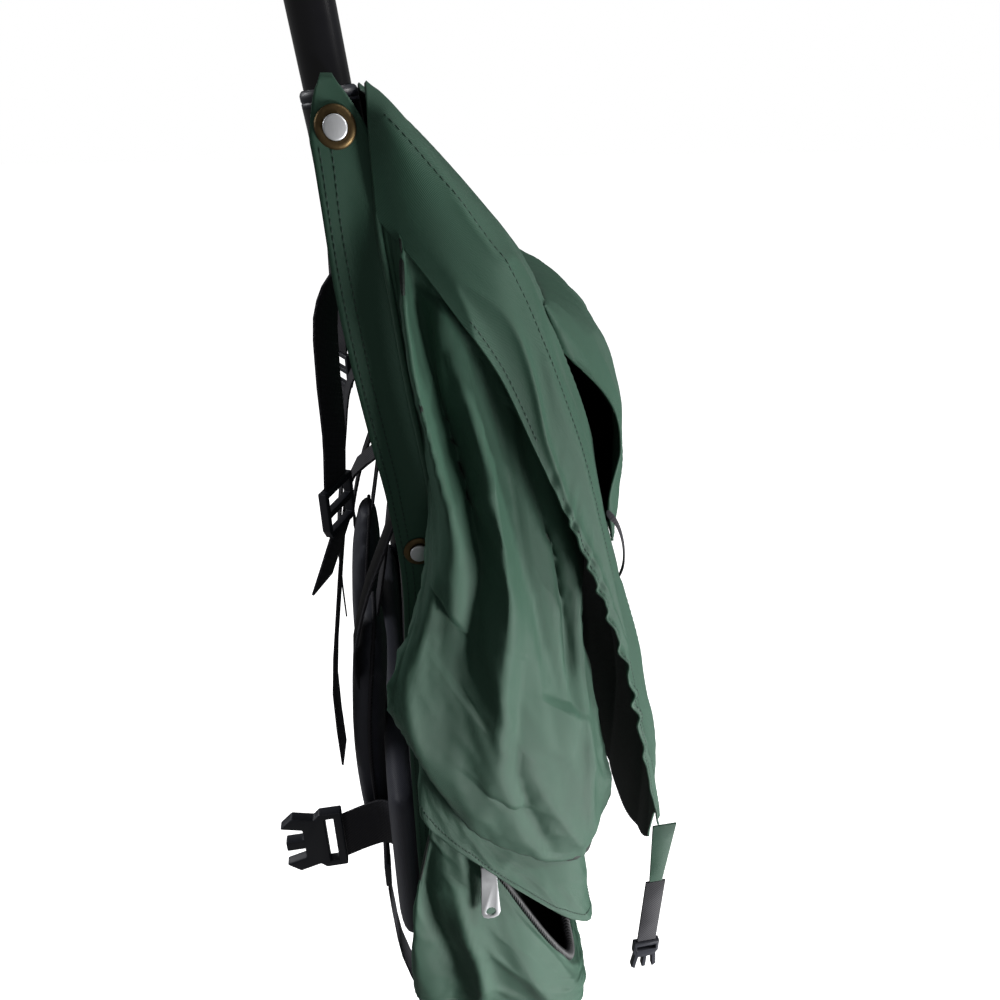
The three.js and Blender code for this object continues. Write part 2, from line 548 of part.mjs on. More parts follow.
function bagAt(rows, edges, folds) {
  const column = (name) => through(rows, "row", name);
  const columns = Object.fromEntries(Object.keys(rows[0]).map((name) => [name, column(name)]));
  const point = (place, row) => {
    const { top, low } = edges[PLACES[place]];
    const z = mix(bagZ(top), bagZ(low), row > 1 ? 2 - row : row);
    const rail = railY(z);
    const panelY = rail - CROSS_BAR_ARCH - CROSS_BAR_DIAMETER / 2 - SEAT - CLOTH;
    const out = (share) => RAIL_X + RAIL_R + share * BAG_BULGE;
    const fwd = (share) => rail - share * BAG_DEPTH;
    if (place === 0) return [0, panelY, z];
    if (place === 1) return [RAIL_X - RAIL_R, panelY, z];
    if (place === 2) return [seamX(z) + 0.2 * CLOTH, seamY(z) - 1.9 * CLOTH, z];
    if (place === 3) return [out(columns.bellyOut(row)), fwd(columns.bellyFwd(row)), z];
    if (place === 4) return [out(columns.sideOut(row)), fwd(columns.sideFwd(row)), z];
    if (place === 5) return [out(columns.seamOut(row)), fwd(columns.seamFwd(row)), z];
    if (place === 6) return [0.72 * RAIL_X, fwd(columns.frontFwd(row)), z];
    return [0, fwd(columns.midFwd(row)), z];
  };
  const halfLoop = (row) => {
    const half = PLACES.map((_, place) => new THREE.Vector3(...point(place, row)));
    const mirrored = half.slice(1, -1).toReversed().map((p) => new THREE.Vector3(-p.x, p.y, p.z));
    return new THREE.CatmullRomCurve3([...half, ...mirrored], true, "centripetal");
  };
  const foldHeight = (place, row) =>
    folds.reduce((sum, fold) => {
      const t = clamp((row - fold.row) / (fold.toRow - fold.row), 0, 1);
      const across = (place - mix(fold.place, fold.toPlace, t)) / fold.wide;
      const fade = Math.sin(Math.PI * clamp(0.1 + 0.8 * t, 0, 1));
      const inside = row < fold.row || row > fold.toRow ? 0 : fade;
      return sum + fold.high * FOLD_DEPTH * inside * Math.exp(-across * across);
    }, 0);
  return (u, row) => {
    const loopPlace = (((u % 1) + 1) % 1) * 14;
    const place = loopPlace > 7 ? 14 - loopPlace : loopPlace;
    const loop = halfLoop(row);
    const at = loop.getPoint(loopPlace / 14);
    const outward = new THREE.Vector3(at.x, at.y - railY(at.z) + 0.4 * BAG_DEPTH, 0).normalize();
    return at.addScaledVector(outward, foldHeight(place, row));
  };
}

const upperShape = bagAt(UPPER_ROWS, UPPER_EDGES, UPPER_FOLDS);
const lowerShape = bagAt(LOWER_ROWS, LOWER_EDGES, LOWER_FOLDS);

const flapShape = bagAt(FLAP_ROWS, FLAP_EDGES, []);
const PLACE_COUNT = 14; // places in the whole loop
const lastRow = (rows) => rows[rows.length - 1].row;

function makeBags() {
  const around = 32;
  const upper = (u, v) => upperShape(u, v * lastRow(UPPER_ROWS));
  const lower = (u, v) => lowerShape(u, v * lastRow(LOWER_ROWS));
  add("bag_upper", cloth(upper, around, 14, CLOTH, { loop: true, floor: true }), "green_cloth");
  add("bag_lower", cloth(lower, around, 8, CLOTH, { loop: true, floor: true }), "green_cloth");
  const [from, to] = [2.7 / PLACE_COUNT, 1 - 2.7 / PLACE_COUNT];
  add("storm_flap", cloth((u, v) => flapShape(mix(from, to, u), v), 24, 2, CLOTH), "green_cloth");
}

// The zip: a coil and its tape along the lower bag's edge, the slider at its near end and the pull
const ZIP_FROM = 3.9; // places where the zip's lower half starts and ends
const COIL_DIAMETER = 4.4;
const TAPE_WIDTH = 12;
const SLIDER = { width: 10, length: 13, height: 6, drop: 2 }; // drop from the cloth's edge to its middle
const PULL = { width: 13, length: 34, thickness: 1.8, hole: 7 };

// Sets a flat outline drawn in x and y into the part: along and up are the directions of its two axes
function placed(geometry, origin, along, up) {
  const out = new THREE.Vector3().crossVectors(along, up);
  return geometry.applyMatrix4(new THREE.Matrix4().makeBasis(along, up, out).setPosition(origin));
}

function makeZip() {
  const place = (t) => mix(ZIP_FROM, PLACE_COUNT - ZIP_FROM, t) / PLACE_COUNT;
  const rim = (t) => lowerShape(place(t), 0);
  // A point off the rim: over the edge of the cloth, and in from its outer face
  const offRim = (t, over, inward) => {
    const step = 0.01;
    const along = rim(Math.min(t + step, 1)).sub(rim(Math.max(t - step, 0))).normalize();
    const at = rim(t);
    const out = new THREE.Vector3(at.x, at.y - railY(at.z) + 0.4 * BAG_DEPTH, 0).normalize();
    const up = new THREE.Vector3().crossVectors(along, out).normalize();
    if (up.z < 0) up.negate();
    return at.addScaledVector(up, over).addScaledVector(out, -inward);
  };
  const steps = 26;
  const reach = COIL_DIAMETER / 2 + 2 * SEAT;
  const points = Array.from({ length: steps + 1 }, (_, i) => offRim(i / steps, reach + CLOTH / 2, 0));
  const section = new THREE.Shape().absarc(0, 0, COIL_DIAMETER / 2, 0, 2 * Math.PI);
  const path = new THREE.CatmullRomCurve3(points);
  const coil = new THREE.ExtrudeGeometry(section, { steps: 26, extrudePath: path, curveSegments: 3 });
  add("zip_coil", coil, "black_plastic");
  const tape = (u, v) => offRim(mix(0.02, 0.98, u), -SEAT - v * TAPE_WIDTH, 2 * CLOTH + SEAT);
  add("zip_tape", cloth(tape, 26, 1, CLOTH / 2), "black_webbing");
  for (const [label, side] of Object.entries(SIDES)) {
    const t = side < 0 ? 1 : 0;
    const up = rim(t).sub(lowerShape(place(t), 0.2)).setY(0).normalize();
    const out = new THREE.Vector3(side * up.z, 0, -side * up.x);
    const along = new THREE.Vector3(0, side, 0);
    const middle = rim(t).addScaledVector(up, -SLIDER.drop).addScaledVector(out, COIL_DIAMETER / 2 + 3 * SEAT + SLIDER.height / 2);
    const slider = new THREE.BoxGeometry(SLIDER.width, SLIDER.length, SLIDER.height);
    const { width, length, thickness, hole } = PULL;
    const [half, corner] = [width / 2, width / 3];
    const outline = new THREE.Shape();
    outline.moveTo(-0.8 * half, 0).lineTo(0.8 * half, 0).lineTo(half, corner - length);
    outline.lineTo(half - 0.3 * corner, 0.3 * corner - length).lineTo(half - corner, -length);
    outline.lineTo(corner - half, -length).lineTo(0.3 * corner - half, 0.3 * corner - length);
    outline.lineTo(-half, corner - length);
    const round = Array.from({ length: TUBE_SIDES }, (_, i) => {
      const turn = (2 * Math.PI * i) / TUBE_SIDES;
      return new THREE.Vector2((hole / 2) * Math.cos(turn), 0.75 * hole - length + (hole / 2) * Math.sin(turn));
    });
    outline.holes.push(new THREE.Path(round));
    const pull = new THREE.ExtrudeGeometry(outline, { depth: thickness, bevelEnabled: false });
    pull.translate(0, 0, SLIDER.height / 2 - thickness);
    const whole = solidOf(placed(slider, middle, along, up)).add(solidOf(placed(pull, middle, along, up)));
    add(`zip_pull_${label}`, geometryOf(whole), "steel");
  }
}

// The lid: from the edge of one side band over the crease and the crowned top to the other band
const lidColumn = Object.fromEntries(Object.keys(LID_ROWS[0]).map((name) => [name, through(LID_ROWS, "row", name)]));
const LID_TOP_Y = -EXTENSION_LEAN - SEAT - 0.3 * RAIL_R;
const GATHERS = 22; // elastic gathers along each side band
const GATHERED_FROM = 0.45; // row where the elastic starts

function lidSection(v) {
  const z = (share) => RAIL_TOP - share * LID_LENGTH;
  const y = (share) => LID_TOP_Y - share * LID_REACH;
  const bandX = RAIL_X + RAIL_R + lidColumn.out(v) * BAG_BULGE;
  const creaseX = bandX - lidColumn.in(v) * RAIL_X;
  const [creaseY, creaseZ] = [y(lidColumn.creaseFwd(v)), z(lidColumn.creaseDown(v))];
  const crown = lidColumn.crown(v) * LID_CROWN;
  const tip = LID_TIP * v ** 4;
  return [
    new THREE.Vector3(bandX, y(lidColumn.bandFwd(v)), z(lidColumn.bandDown(v))),
    new THREE.Vector3(creaseX, creaseY, creaseZ),
    new THREE.Vector3(0.62 * creaseX, creaseY - 0.75 * crown, creaseZ - 0.7 * tip),
    new THREE.Vector3(0, creaseY - crown, creaseZ - tip),
  ];
}

function lidAt(u, v) {
  const half = lidSection(v);
  const mirrored = half.slice(0, -1).toReversed().map((p) => new THREE.Vector3(-p.x, p.y, p.z));
  const section = new THREE.CatmullRomCurve3([...half, ...mirrored], false, "centripetal");
  const at = section.getPoint(u);
  const edge = clamp(1 - Math.min(u, 1 - u) / 0.17, 0, 1);
  const gather = clamp((v - GATHERED_FROM) / 0.1, 0, 1) * edge * edge;
  return at.add(new THREE.Vector3(0, RUFFLE * gather * Math.sin(2 * Math.PI * GATHERS * v), 0));
}

// The map pocket on the lid stands on its edges and is open at the side, where its rim is lifted
const POCKET = { from: 0.24, to: 0.66, side: 0.3, rimFrom: 0.3, rimTo: 0.88 };

function pocketAt(u, v) {
  const lid = (a, b) => lidAt(mix(POCKET.side, 1 - POCKET.side, a), mix(POCKET.from, POCKET.to, b));
  const step = 0.01;
  const normal = lid(u + step, v).sub(lid(u - step, v)).cross(lid(u, v + step).sub(lid(u, v - step))).normalize();
  if (normal.y > 0) normal.negate();
  const over = Math.sin(Math.PI * clamp(u, 0, 1)) ** 0.5;
  const along = Math.sin(Math.PI * clamp(v, 0, 1) ** 0.75) ** 0.7;
  const rim = clamp((v - POCKET.rimFrom) / (POCKET.rimTo - POCKET.rimFrom), 0, 1);
  const lifted = 0.55 * Math.sin(Math.PI * rim) * Math.max(0, 2 * u - 1);
  return lid(u, v).addScaledVector(normal, CLOTH + SEAT + POCKET_RISE * along * Math.max(over, lifted));
}

// A flat webbing loop sewn to the lid beside the pocket's lower end
const LOOP = { across: 0.74, from: 0.61, to: 0.7, rise: 7 };

function loopAt(u, v) {
  const [a, b] = [LOOP.across + mix(-0.025, 0.025, u), mix(LOOP.from, LOOP.to, v)];
  const step = 0.01;
  const normal = lidAt(a + step, b).sub(lidAt(a - step, b)).cross(lidAt(a, b + step).sub(lidAt(a, b - step))).normalize();
  if (normal.y > 0) normal.negate();
  return lidAt(a, b).addScaledVector(normal, CLOTH / 2 + SEAT + LOOP.rise * Math.sin(Math.PI * v) ** 0.5);
}

function makeLid() {
  add("lid_loop", cloth(loopAt, 1, 8, STRAP_THICKNESS), "black_webbing");
  add("lid", cloth(lidAt, 14, 26, CLOTH), "green_cloth");
  add("lid_pocket", cloth(pocketAt, 10, 10, CLOTH), "green_cloth");
}

// Tongue, webbing and male buckle at each lower corner of the lid
const TONGUE_LENGTH = 66;
const LID_STRAP_LENGTH = 78;
const LID_STRAP_WIDTH = 16;

// A male side-release buckle: a slotted body and its two sprung prongs either side of a guide
function buckleOutline(width, length, slot) {
  const [half, neck, prong] = [width / 2, 0.45 * length, 0.16 * width];
  const outline = new THREE.Shape();
  outline.moveTo(-half, 0).lineTo(half, 0).lineTo(half, 0.8 * neck).lineTo(half - prong / 2, neck);
  outline.lineTo(half, length - prong).lineTo(half - prong, length).lineTo(half - 1.5 * prong, neck + prong);
  outline.lineTo(prong / 2, neck + prong).lineTo(prong / 2, 0.95 * length).lineTo(-prong / 2, 0.95 * length);
  outline.lineTo(-prong / 2, neck + prong).lineTo(1.5 * prong - half, neck + prong).lineTo(prong - half, length);
  outline.lineTo(-half, length - prong).lineTo(prong / 2 - half, neck).lineTo(-half, 0.8 * neck);
  const [slotHalf, slotFrom] = [slot / 2, 0.14 * length];
  const hole = new THREE.Path();
  hole.moveTo(-slotHalf, slotFrom).lineTo(-slotHalf, slotFrom + 0.14 * length);
  hole.lineTo(slotHalf, slotFrom + 0.14 * length).lineTo(slotHalf, slotFrom);
  outline.holes.push(hole);
  return outline;
}

function plate(outline, thickness) {
  const solid = new THREE.ExtrudeGeometry(outline, { depth: thickness, bevelEnabled: false, curveSegments: 4 });
  return solid.translate(0, 0, -thickness / 2);
}

function makeLidStraps() {
  const drop = lidAt(0, 1);
  const thickness = 5;
  for (const [label, side] of Object.entries(SIDES)) {
    const x = side * Math.abs(drop.x);
    const top = drop.z - 2 * SEAT;
    const y = drop.y - LID_STRAP_WIDTH / 4;
    const wide = () => new THREE.Vector3(0, 1, 0);
    const down = (length) => new THREE.Vector3(x, y, top - length);
    const tongue = cloth(
      (u, v) => down(TONGUE_LENGTH * v + SEAT).add(new THREE.Vector3(0, (u - 0.5) * LID_STRAP_WIDTH * (1.15 - 0.5 * v), 0)),
      2, 4, CLOTH,
    );
    add(`lid_tongue_${label}`, tongue, "green_cloth");
    const from = TONGUE_LENGTH + 2 * SEAT;
    add(
      `lid_strap_${label}`,
      webbing([down(from), down(from + LID_STRAP_LENGTH / 2), down(from + LID_STRAP_LENGTH)], wide, LID_STRAP_WIDTH, 3),
      "black_webbing",
    );
    const buckle = plate(buckleOutline(LID_STRAP_WIDTH + 6, 36, LID_STRAP_WIDTH), thickness);
    placed(buckle, down(from + LID_STRAP_LENGTH + SEAT), new THREE.Vector3(0, 1, 0), new THREE.Vector3(0, 0, -1));
    add(`lid_buckle_${label}`, buckle, "black_plastic");
  }
}

// Shoulder harness
const LOCK = { length: 30, thickness: 5, bar: 4 };

// A ladder-lock: a frame with two bars across it
function lockOutline(width, length) {
  const half = width / 2 + LOCK.bar;
  const outline = new THREE.Shape();
  outline.moveTo(-half, 0).lineTo(half, 0).lineTo(half, -0.8 * length).lineTo(0.8 * half, -length);
  outline.lineTo(-0.8 * half, -length).lineTo(-half, -0.8 * length);
  const gap = (length - 3 * LOCK.bar) / 2;
  for (const top of [-LOCK.bar, -2 * LOCK.bar - gap]) {
    const slot = new THREE.Path();
    slot.moveTo(-width / 2, top).lineTo(-width / 2, top - gap).lineTo(width / 2, top - gap).lineTo(width / 2, top);
    outline.holes.push(slot);
  }
  return outline;
}

// Stations of each strap on one side: how far behind the waist of the rail it hangs (back) and how far
// below the top of the rails (down); back is a share of BAG_DEPTH, down of FRAME_HEIGHT.
const STRAP_ROUTES = {
  lifter: [
    { back: 0.11, down: 0.1015 }, { back: 0.215, down: 0.107 }, { back: 0.29, down: 0.13 }, { back: 0.315, down: 0.175 },
    { back: 0.32, down: 0.225 }, { back: 0.34, down: 0.266 },
  ],
  lifter_tail: [{ back: 0.34, down: 0.3073 }, { back: 0.4, down: 0.335 }, { back: 0.455, down: 0.36 }],
  free_tail: [
    { back: 0.0905, down: 0.247 }, { back: 0.14, down: 0.26 }, { back: 0.25, down: 0.275 }, { back: 0.31, down: 0.3 },
    { back: 0.345, down: 0.335 }, { back: 0.42, down: 0.42 }, { back: 0.485, down: 0.505 }, { back: 0.49, down: 0.6 },
  ],
  pad_top: [
    { back: 0.058, down: 0.243 }, { back: 0.066, down: 0.275 }, { back: 0.115, down: 0.33 }, { back: 0.16, down: 0.38 },
    { back: 0.22, down: 0.4345 },
  ],
  pad_tail: [
    { back: 0.075, down: 0.245 }, { back: 0.09, down: 0.31 }, { back: 0.17, down: 0.35 }, { back: 0.25, down: 0.385 },
    { back: 0.31, down: 0.42 }, { back: 0.36, down: 0.46 }, { back: 0.35, down: 0.49 },
  ],
  sheath: [{ back: 0.31, down: 0.7538 }, { back: 0.32, down: 0.792 }],
  lower: [
    { back: 0.325, down: 0.84 }, { back: 0.31, down: 0.88 }, { back: 0.26, down: 0.925 }, { back: 0.069, down: 0.968 },
  ],
};
const waistY = -EXTENSION_LEAN - RAIL_BOW;
const routePoint = (x) => ({ back, down }) =>
  new THREE.Vector3(x, waistY + back * BAG_DEPTH, RAIL_TOP - down * FRAME_HEIGHT);

function makeShoulderStraps() {
  const lifterX = LIFTER_SPACING / 2;
  const padX = HARNESS_SPACING / 2;
  for (const [label, side] of Object.entries(SIDES)) {
    const turned = (angle) => () => new THREE.Vector3(Math.cos(angle), side * Math.sin(angle), 0);
    const strap = (name, route, x, angle, steps) => {
      const stations = STRAP_ROUTES[route].map(routePoint(side * x));
      add(`${name}_${label}`, webbing(stations, turned(angle), STRAP_WIDTH, steps), "black_webbing");
    };
    const lifterTurn = 0.45;
    const lock = (name, x, { back, down }, turn) => {
      const solid = plate(lockOutline(STRAP_WIDTH, LOCK.length), LOCK.thickness);
      const at = routePoint(side * x)({ back, down }).add(new THREE.Vector3(0, 0, -SEAT));
      add(`${name}_${label}`, placed(solid, at, turned(turn)(), new THREE.Vector3(0, 0, 1)), "black_plastic");
    };
    strap("lifter_strap", "lifter", lifterX, lifterTurn, 14);
    lock("lifter_lock", lifterX, STRAP_ROUTES.lifter.at(-1), lifterTurn);
    strap("lifter_tail", "lifter_tail", lifterX, lifterTurn, 6);
    strap("free_tail", "free_tail", lifterX - 1.25 * STRAP_WIDTH, 0.085, 14);
    strap("pad_top_strap", "pad_top", padX, 0, 8);
    strap("pad_tail", "pad_tail", padX + 1.04 * STRAP_WIDTH, 0, 10);
    makePad(label, side * padX);
    strap("pad_sheath", "sheath", padX, 0, 3);
    lock("pad_lock", padX, STRAP_ROUTES.sheath.at(-1), 0);
    const lower = STRAP_ROUTES.lower.map((station, i, all) => {
      const out = (i / (all.length - 1)) ** 2;
      return routePoint(side * mix(padX, RAIL_X - RAIL_R - STRAP_THICKNESS, out))(station);
    });
    add(`lower_strap_${label}`, webbing(lower, turned(0), STRAP_WIDTH, 8), "black_webbing");
  }
}

// A padded strap: a flat round-edged section carried down a slightly bowed line
function makePad(label, x) {
  const top = RAIL_TOP - PAD_DROP;
  const steps = 10;
  const ring = 10;
  const positions = [];
  for (let j = 0; j <= steps; j += 1) {
    const t = j / steps;
    const taper = Math.min(1, 0.55 + 3 * t, 0.45 + 3 * (1 - t));
    const y = waistY + BAG_DEPTH * (0.24 + 0.07 * Math.sin(Math.PI * t) + 0.05 * t);
    for (let i = 0; i < ring; i += 1) {
      const angle = (2 * Math.PI * i) / ring;
      const wide = Math.sign(Math.cos(angle)) * Math.abs(Math.cos(angle)) ** 0.6;
      const thick = Math.sign(Math.sin(angle)) * Math.abs(Math.sin(angle)) ** 0.6;
      positions.push(x + (wide * taper * PAD_WIDTH) / 2, y + (thick * taper * PAD_THICKNESS) / 2, top - t * PAD_LENGTH);
    }
  }
  const index = [];
  for (let j = 0; j < steps; j += 1)
    for (let i = 0; i < ring; i += 1) {
      const [a, b] = [j * ring + i, j * ring + ((i + 1) % ring)];
      index.push(a, b, b + ring, a, b + ring, a + ring);
    }
  for (let i = 1; i < ring - 1; i += 1) {
    index.push(0, i + 1, i);
    const last = steps * ring;
    index.push(last, last + i, last + i + 1);
  }
  add(`shoulder_pad_${label}`, facingOut(positions, index), "navy_padding");
}

// Lumbar band across the backs of the rails, hip webbing sewn to it and the hip buckles. The left webbing
// stands out behind the pack and the right one hangs down beside its rail.
const HIP_BUCKLE = { width: 60, length: 46, thickness: 8 };
const HIP_SPACING = 236;
const HIP_REACH = 40; // how far the hip webbing stands out behind the band

function makeHipBelt() {
  const bandBack = RAIL_R * FACET + SEAT + BAND_THICKNESS / 2;
  const band = (u, v) => {
    const z = RAIL_TOP - BAND_DROP - v * BAND_HEIGHT;
    const x = mix(-1, 1, u) * (RAIL_X + RAIL_R - SEAT);
    const sag = 3 * (1 - (x / RAIL_X) ** 2);
    return new THREE.Vector3(x, railY(z) + bandBack + Math.max(0, sag) * SEAT, z);
  };
  add("lumbar_band", cloth(band, 12, 4, BAND_THICKNESS), "navy_padding");
  const height = RAIL_TOP - BAND_DROP - BAND_HEIGHT / 2;
  const bandFace = railY(height) + bandBack + BAND_THICKNESS / 2 + 3.5 * SEAT + STRAP_THICKNESS / 2;
  for (const [label, side] of Object.entries(SIDES)) {
    const point = (x, back, drop) => new THREE.Vector3(side * x, bandFace + back, height + drop);
    const half = HIP_SPACING / 2;
    const standing = [
      point(half + 30, 0, 8), point(half + 10, 0.5, 4), point(half, 9, 0), point(half - 3, 0.55 * HIP_REACH, -6),
      point(half - 4, HIP_REACH, -14),
    ];
    const hanging = [0, 0.25, 0.5, 0.8].map((share) => point(half + HIP_WIDTH / 2, -SEAT, -share * BAND_HEIGHT));
    const stations = side < 0 ? standing : hanging;
    const [wide, on] = side < 0 ? [[0, 0, 1], [0, 1, 0]] : [[1, 0, 0], [0, 0, -1]];
    const across = new THREE.Vector3(...wide);
    add(`hip_webbing_${label}`, webbing(stations, () => across, HIP_WIDTH, 12), "black_webbing");
    const buckle = plate(buckleOutline(HIP_BUCKLE.width, HIP_BUCKLE.length, HIP_WIDTH), HIP_BUCKLE.thickness);
    const up = new THREE.Vector3(...on);
    placed(buckle, stations.at(-1).clone().addScaledVector(up, SEAT), across, up);
    add(`hip_buckle_${label}`, buckle, "black_plastic");
  }
}

pack.name = "external_frame_backpack";
makeRails();
makeExtension();
makeEnds();
makeCrossBars();
makePins();
makeFlanges();
makeBags();
makeZip();
makeLid();
makeLidStraps();
makeShoulderStraps();
makeHipBelt();

export default pack;
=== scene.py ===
import math

import bmesh
import bpy
import numpy as np
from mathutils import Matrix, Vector, noise


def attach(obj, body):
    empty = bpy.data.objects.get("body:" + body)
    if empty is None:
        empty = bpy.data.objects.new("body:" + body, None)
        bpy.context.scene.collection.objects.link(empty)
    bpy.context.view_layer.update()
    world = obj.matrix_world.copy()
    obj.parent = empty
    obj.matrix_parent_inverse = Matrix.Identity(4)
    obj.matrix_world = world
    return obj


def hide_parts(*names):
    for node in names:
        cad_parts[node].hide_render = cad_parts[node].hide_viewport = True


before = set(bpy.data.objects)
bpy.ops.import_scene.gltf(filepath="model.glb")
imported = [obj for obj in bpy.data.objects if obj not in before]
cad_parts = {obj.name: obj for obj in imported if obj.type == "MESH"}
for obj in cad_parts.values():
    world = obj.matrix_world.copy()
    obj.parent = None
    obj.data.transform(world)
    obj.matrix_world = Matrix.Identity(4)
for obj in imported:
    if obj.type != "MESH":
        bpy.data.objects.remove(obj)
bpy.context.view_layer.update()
MM = 0.001

# Studio: the pack hangs over a pale floor that only the camera sees, lit by two soft lamps before the bag,
# one behind it, a weak one above and one beside. The camera stands close to its left side and looks down.
eye = Vector((-0.5126, -0.0248, -0.117))
pitch, yaw = math.radians(29.0), math.radians(9.9)
sight = Vector((math.cos(pitch) * math.cos(yaw), -math.cos(pitch) * math.sin(yaw), -math.sin(pitch)))
camera = bpy.data.objects.new("camera", bpy.data.cameras.new("camera"))
camera.data.lens, camera.data.sensor_width, camera.data.clip_start = 27.0, 36.0, 0.01
camera.location, camera.rotation_euler = eye, sight.to_track_quat("-Z", "Y").to_euler()
bpy.context.collection.objects.link(camera)
bpy.context.scene.camera = camera

floor_mesh = bpy.data.meshes.new("floor")
floor_mesh.from_pydata([(-15, -15, -1.35), (15, -15, -1.35), (15, 15, -1.35), (-15, 15, -1.35)], [], [(0, 1, 2, 3)])
floor = bpy.data.objects.new("floor", floor_mesh)
bpy.context.collection.objects.link(floor)
pale = bpy.data.materials.new("pale_floor")
pale.use_nodes = True
pale.node_tree.nodes["Principled BSDF"].inputs["Base Color"].default_value = (0.86, 0.86, 0.86, 1)
pale.node_tree.nodes["Principled BSDF"].inputs["Roughness"].default_value = 0.9
pale.node_tree.nodes["Principled BSDF"].inputs["Emission Color"].default_value = (1, 1, 1, 1)
pale.node_tree.nodes["Principled BSDF"].inputs["Emission Strength"].default_value = 1.0
floor.data.materials.append(pale)
floor.visible_diffuse = floor.visible_glossy = False

for name, place, size, power, colour in [
    ("light_front", (-0.6, -2.4, 1.0), 0.45, 46, (1.0, 0.99, 0.97)),
    ("light_low", (-0.8, -1.0, -1.15), 0.4, 28, (1.0, 1.0, 0.99)),
    ("light_side", (-2.4, 0.2, 1.1), 1.4, 2, (0.98, 0.99, 1.0)),
    ("light_back", (0.9, 2.3, 0.9), 1.2, 30, (0.97, 0.98, 1.0)),
    ("light_above", (0.1, -0.8, 2.2), 0.8, 11, (1.0, 1.0, 1.0)),
]:
    light = bpy.data.lights.new(name, "AREA")
    light.size, light.energy, light.color = size, power, colour
    lamp = bpy.data.objects.new(name, light)
    lamp.location = place
    lamp.rotation_euler = (Vector((0, -0.1, -0.45)) - Vector(place)).to_track_quat("-Z", "Y").to_euler()
    bpy.context.collection.objects.link(lamp)
world = bpy.data.worlds.new("studio")
world.use_nodes = True
backdrop, seen = world.node_tree.nodes["Background"], world.node_tree.nodes.new("ShaderNodeLightPath")
level = world.node_tree.nodes.new("ShaderNodeMapRange")
level.inputs["To Min"].default_value, level.inputs["To Max"].default_value = 0.13, 1.0
world.node_tree.links.new(seen.outputs["Is Camera Ray"], level.inputs["Value"])
world.node_tree.links.new(level.outputs["Result"], backdrop.inputs["Strength"])
backdrop.inputs["Color"].default_value = (1, 1, 1, 1)
bpy.context.scene.world = world
bpy.context.scene.view_settings.view_transform = "Standard"

# Side rails, extension and cross bars: drawn aluminium tube with a glossy black enamel. The rails are bent
# in a slight S, the U-shaped extension slides into their tops and the cross bars are coped and welded.
# All sizes are in millimetres and become metres where a mesh is made.
RAIL_X, RAIL_R, RAIL_TOP, FRAME_HEIGHT = 156.0, 12.0, -118.0, 742.0
LEAN, BOW, CROSS_BOW, CROSS_R = 15.5, 26.0, 10.0, 8.0
RAIL_SWEEP = [
    (0, 0), (0.03, 0.11), (0.057, 0.16), (0.107, 0.24), (0.156, 0.4), (0.206, 0.61), (0.252, 0.82), (0.32, 1),
    (0.4, 0.93), (0.5, 0.87), (0.674, 0.86), (0.84, 0.9), (1, 1.2),
]


def smooth_through(at, values):
    """A smooth curve through values set at the places in at, level past its ends"""
    at, values = np.array(at, float), np.array(values, float)
    slope = np.empty_like(values)
    slope[1:-1] = (values[2:] - values[:-2]) / (at[2:] - at[:-2])
    slope[0], slope[-1] = (values[1] - values[0]) / (at[1] - at[0]), (values[-1] - values[-2]) / (at[-1] - at[-2])

    def curve(where):
        i = np.clip(np.searchsorted(at, where, "right") - 1, 0, len(at) - 2)
        span = at[i + 1] - at[i]
        t = np.clip((where - at[i]) / span, 0, 1)
        start, end, rise = slope[i] * span, slope[i + 1] * span, values[i + 1] - values[i]
        return values[i] + t * (start + t * (3 * rise - 2 * start - end + t * (start + end - 2 * rise)))

    return curve


rail_bow = smooth_through(*zip(*RAIL_SWEEP))


def rail_y(z):
    return -LEAN - BOW * rail_bow((RAIL_TOP - np.asarray(z, float)) / FRAME_HEIGHT)


def tube(name, points, radius, sides=32, material=None, replaced=()):
    """A round bar along points in millimetres, with filled ends"""
    curve = bpy.data.curves.new(name, "CURVE")
    curve.dimensions, curve.bevel_depth, curve.bevel_resolution = "3D", radius * MM, sides // 4
    curve.use_fill_caps = True
    spline = curve.splines.new("POLY")
    spline.points.add(len(points) - 1)
    for point, place in zip(spline.points, points):
        point.co = (*(np.asarray(place) * MM), 1)
    carrier = bpy.data.objects.new(name + "_path", curve)
    bpy.context.collection.objects.link(carrier)
    mesh = bpy.data.meshes.new_from_object(carrier.evaluated_get(bpy.context.evaluated_depsgraph_get()))
    bpy.data.objects.remove(carrier)
    return finished(name, mesh, material, replaced)


def finished(name, mesh, material, replaced=()):
    """A mesh in metres as a piece of the pack, smooth and riding on it"""
    mesh.name = name
    mesh.shade_smooth()
    mesh.materials.clear()
    mesh.materials.append(material)
    piece = bpy.data.objects.new(name, mesh)
    bpy.context.collection.objects.link(piece)
    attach(piece, "root")
    if replaced:
        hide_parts(*replaced)
    return piece


def new_material(name, colour, roughness, metallic=0.0):
    """A material with its plain values on its own shader, and the shader and node tree to add detail to"""
    material = bpy.data.materials.new(name)
    material.use_nodes = True
    shader = material.node_tree.nodes["Principled BSDF"]
    shader.inputs["Base Color"].default_value = (*colour, 1)
    shader.inputs["Roughness"].default_value = roughness
    shader.inputs["Metallic"].default_value = metallic
    return material, shader, material.node_tree


def group_of(name, inputs, outputs):
    """An empty shader group with its sockets, and its input and output nodes"""
    group = bpy.data.node_groups.new(name, "ShaderNodeTree")
    for label, kind, value in inputs:
        socket = group.interface.new_socket(label, in_out="INPUT", socket_type=kind)
        if value is not None:
            socket.default_value = value
    for label, kind in outputs:
        group.interface.new_socket(label, in_out="OUTPUT", socket_type=kind)
    return group, group.nodes.new("NodeGroupInput"), group.nodes.new("NodeGroupOutput")


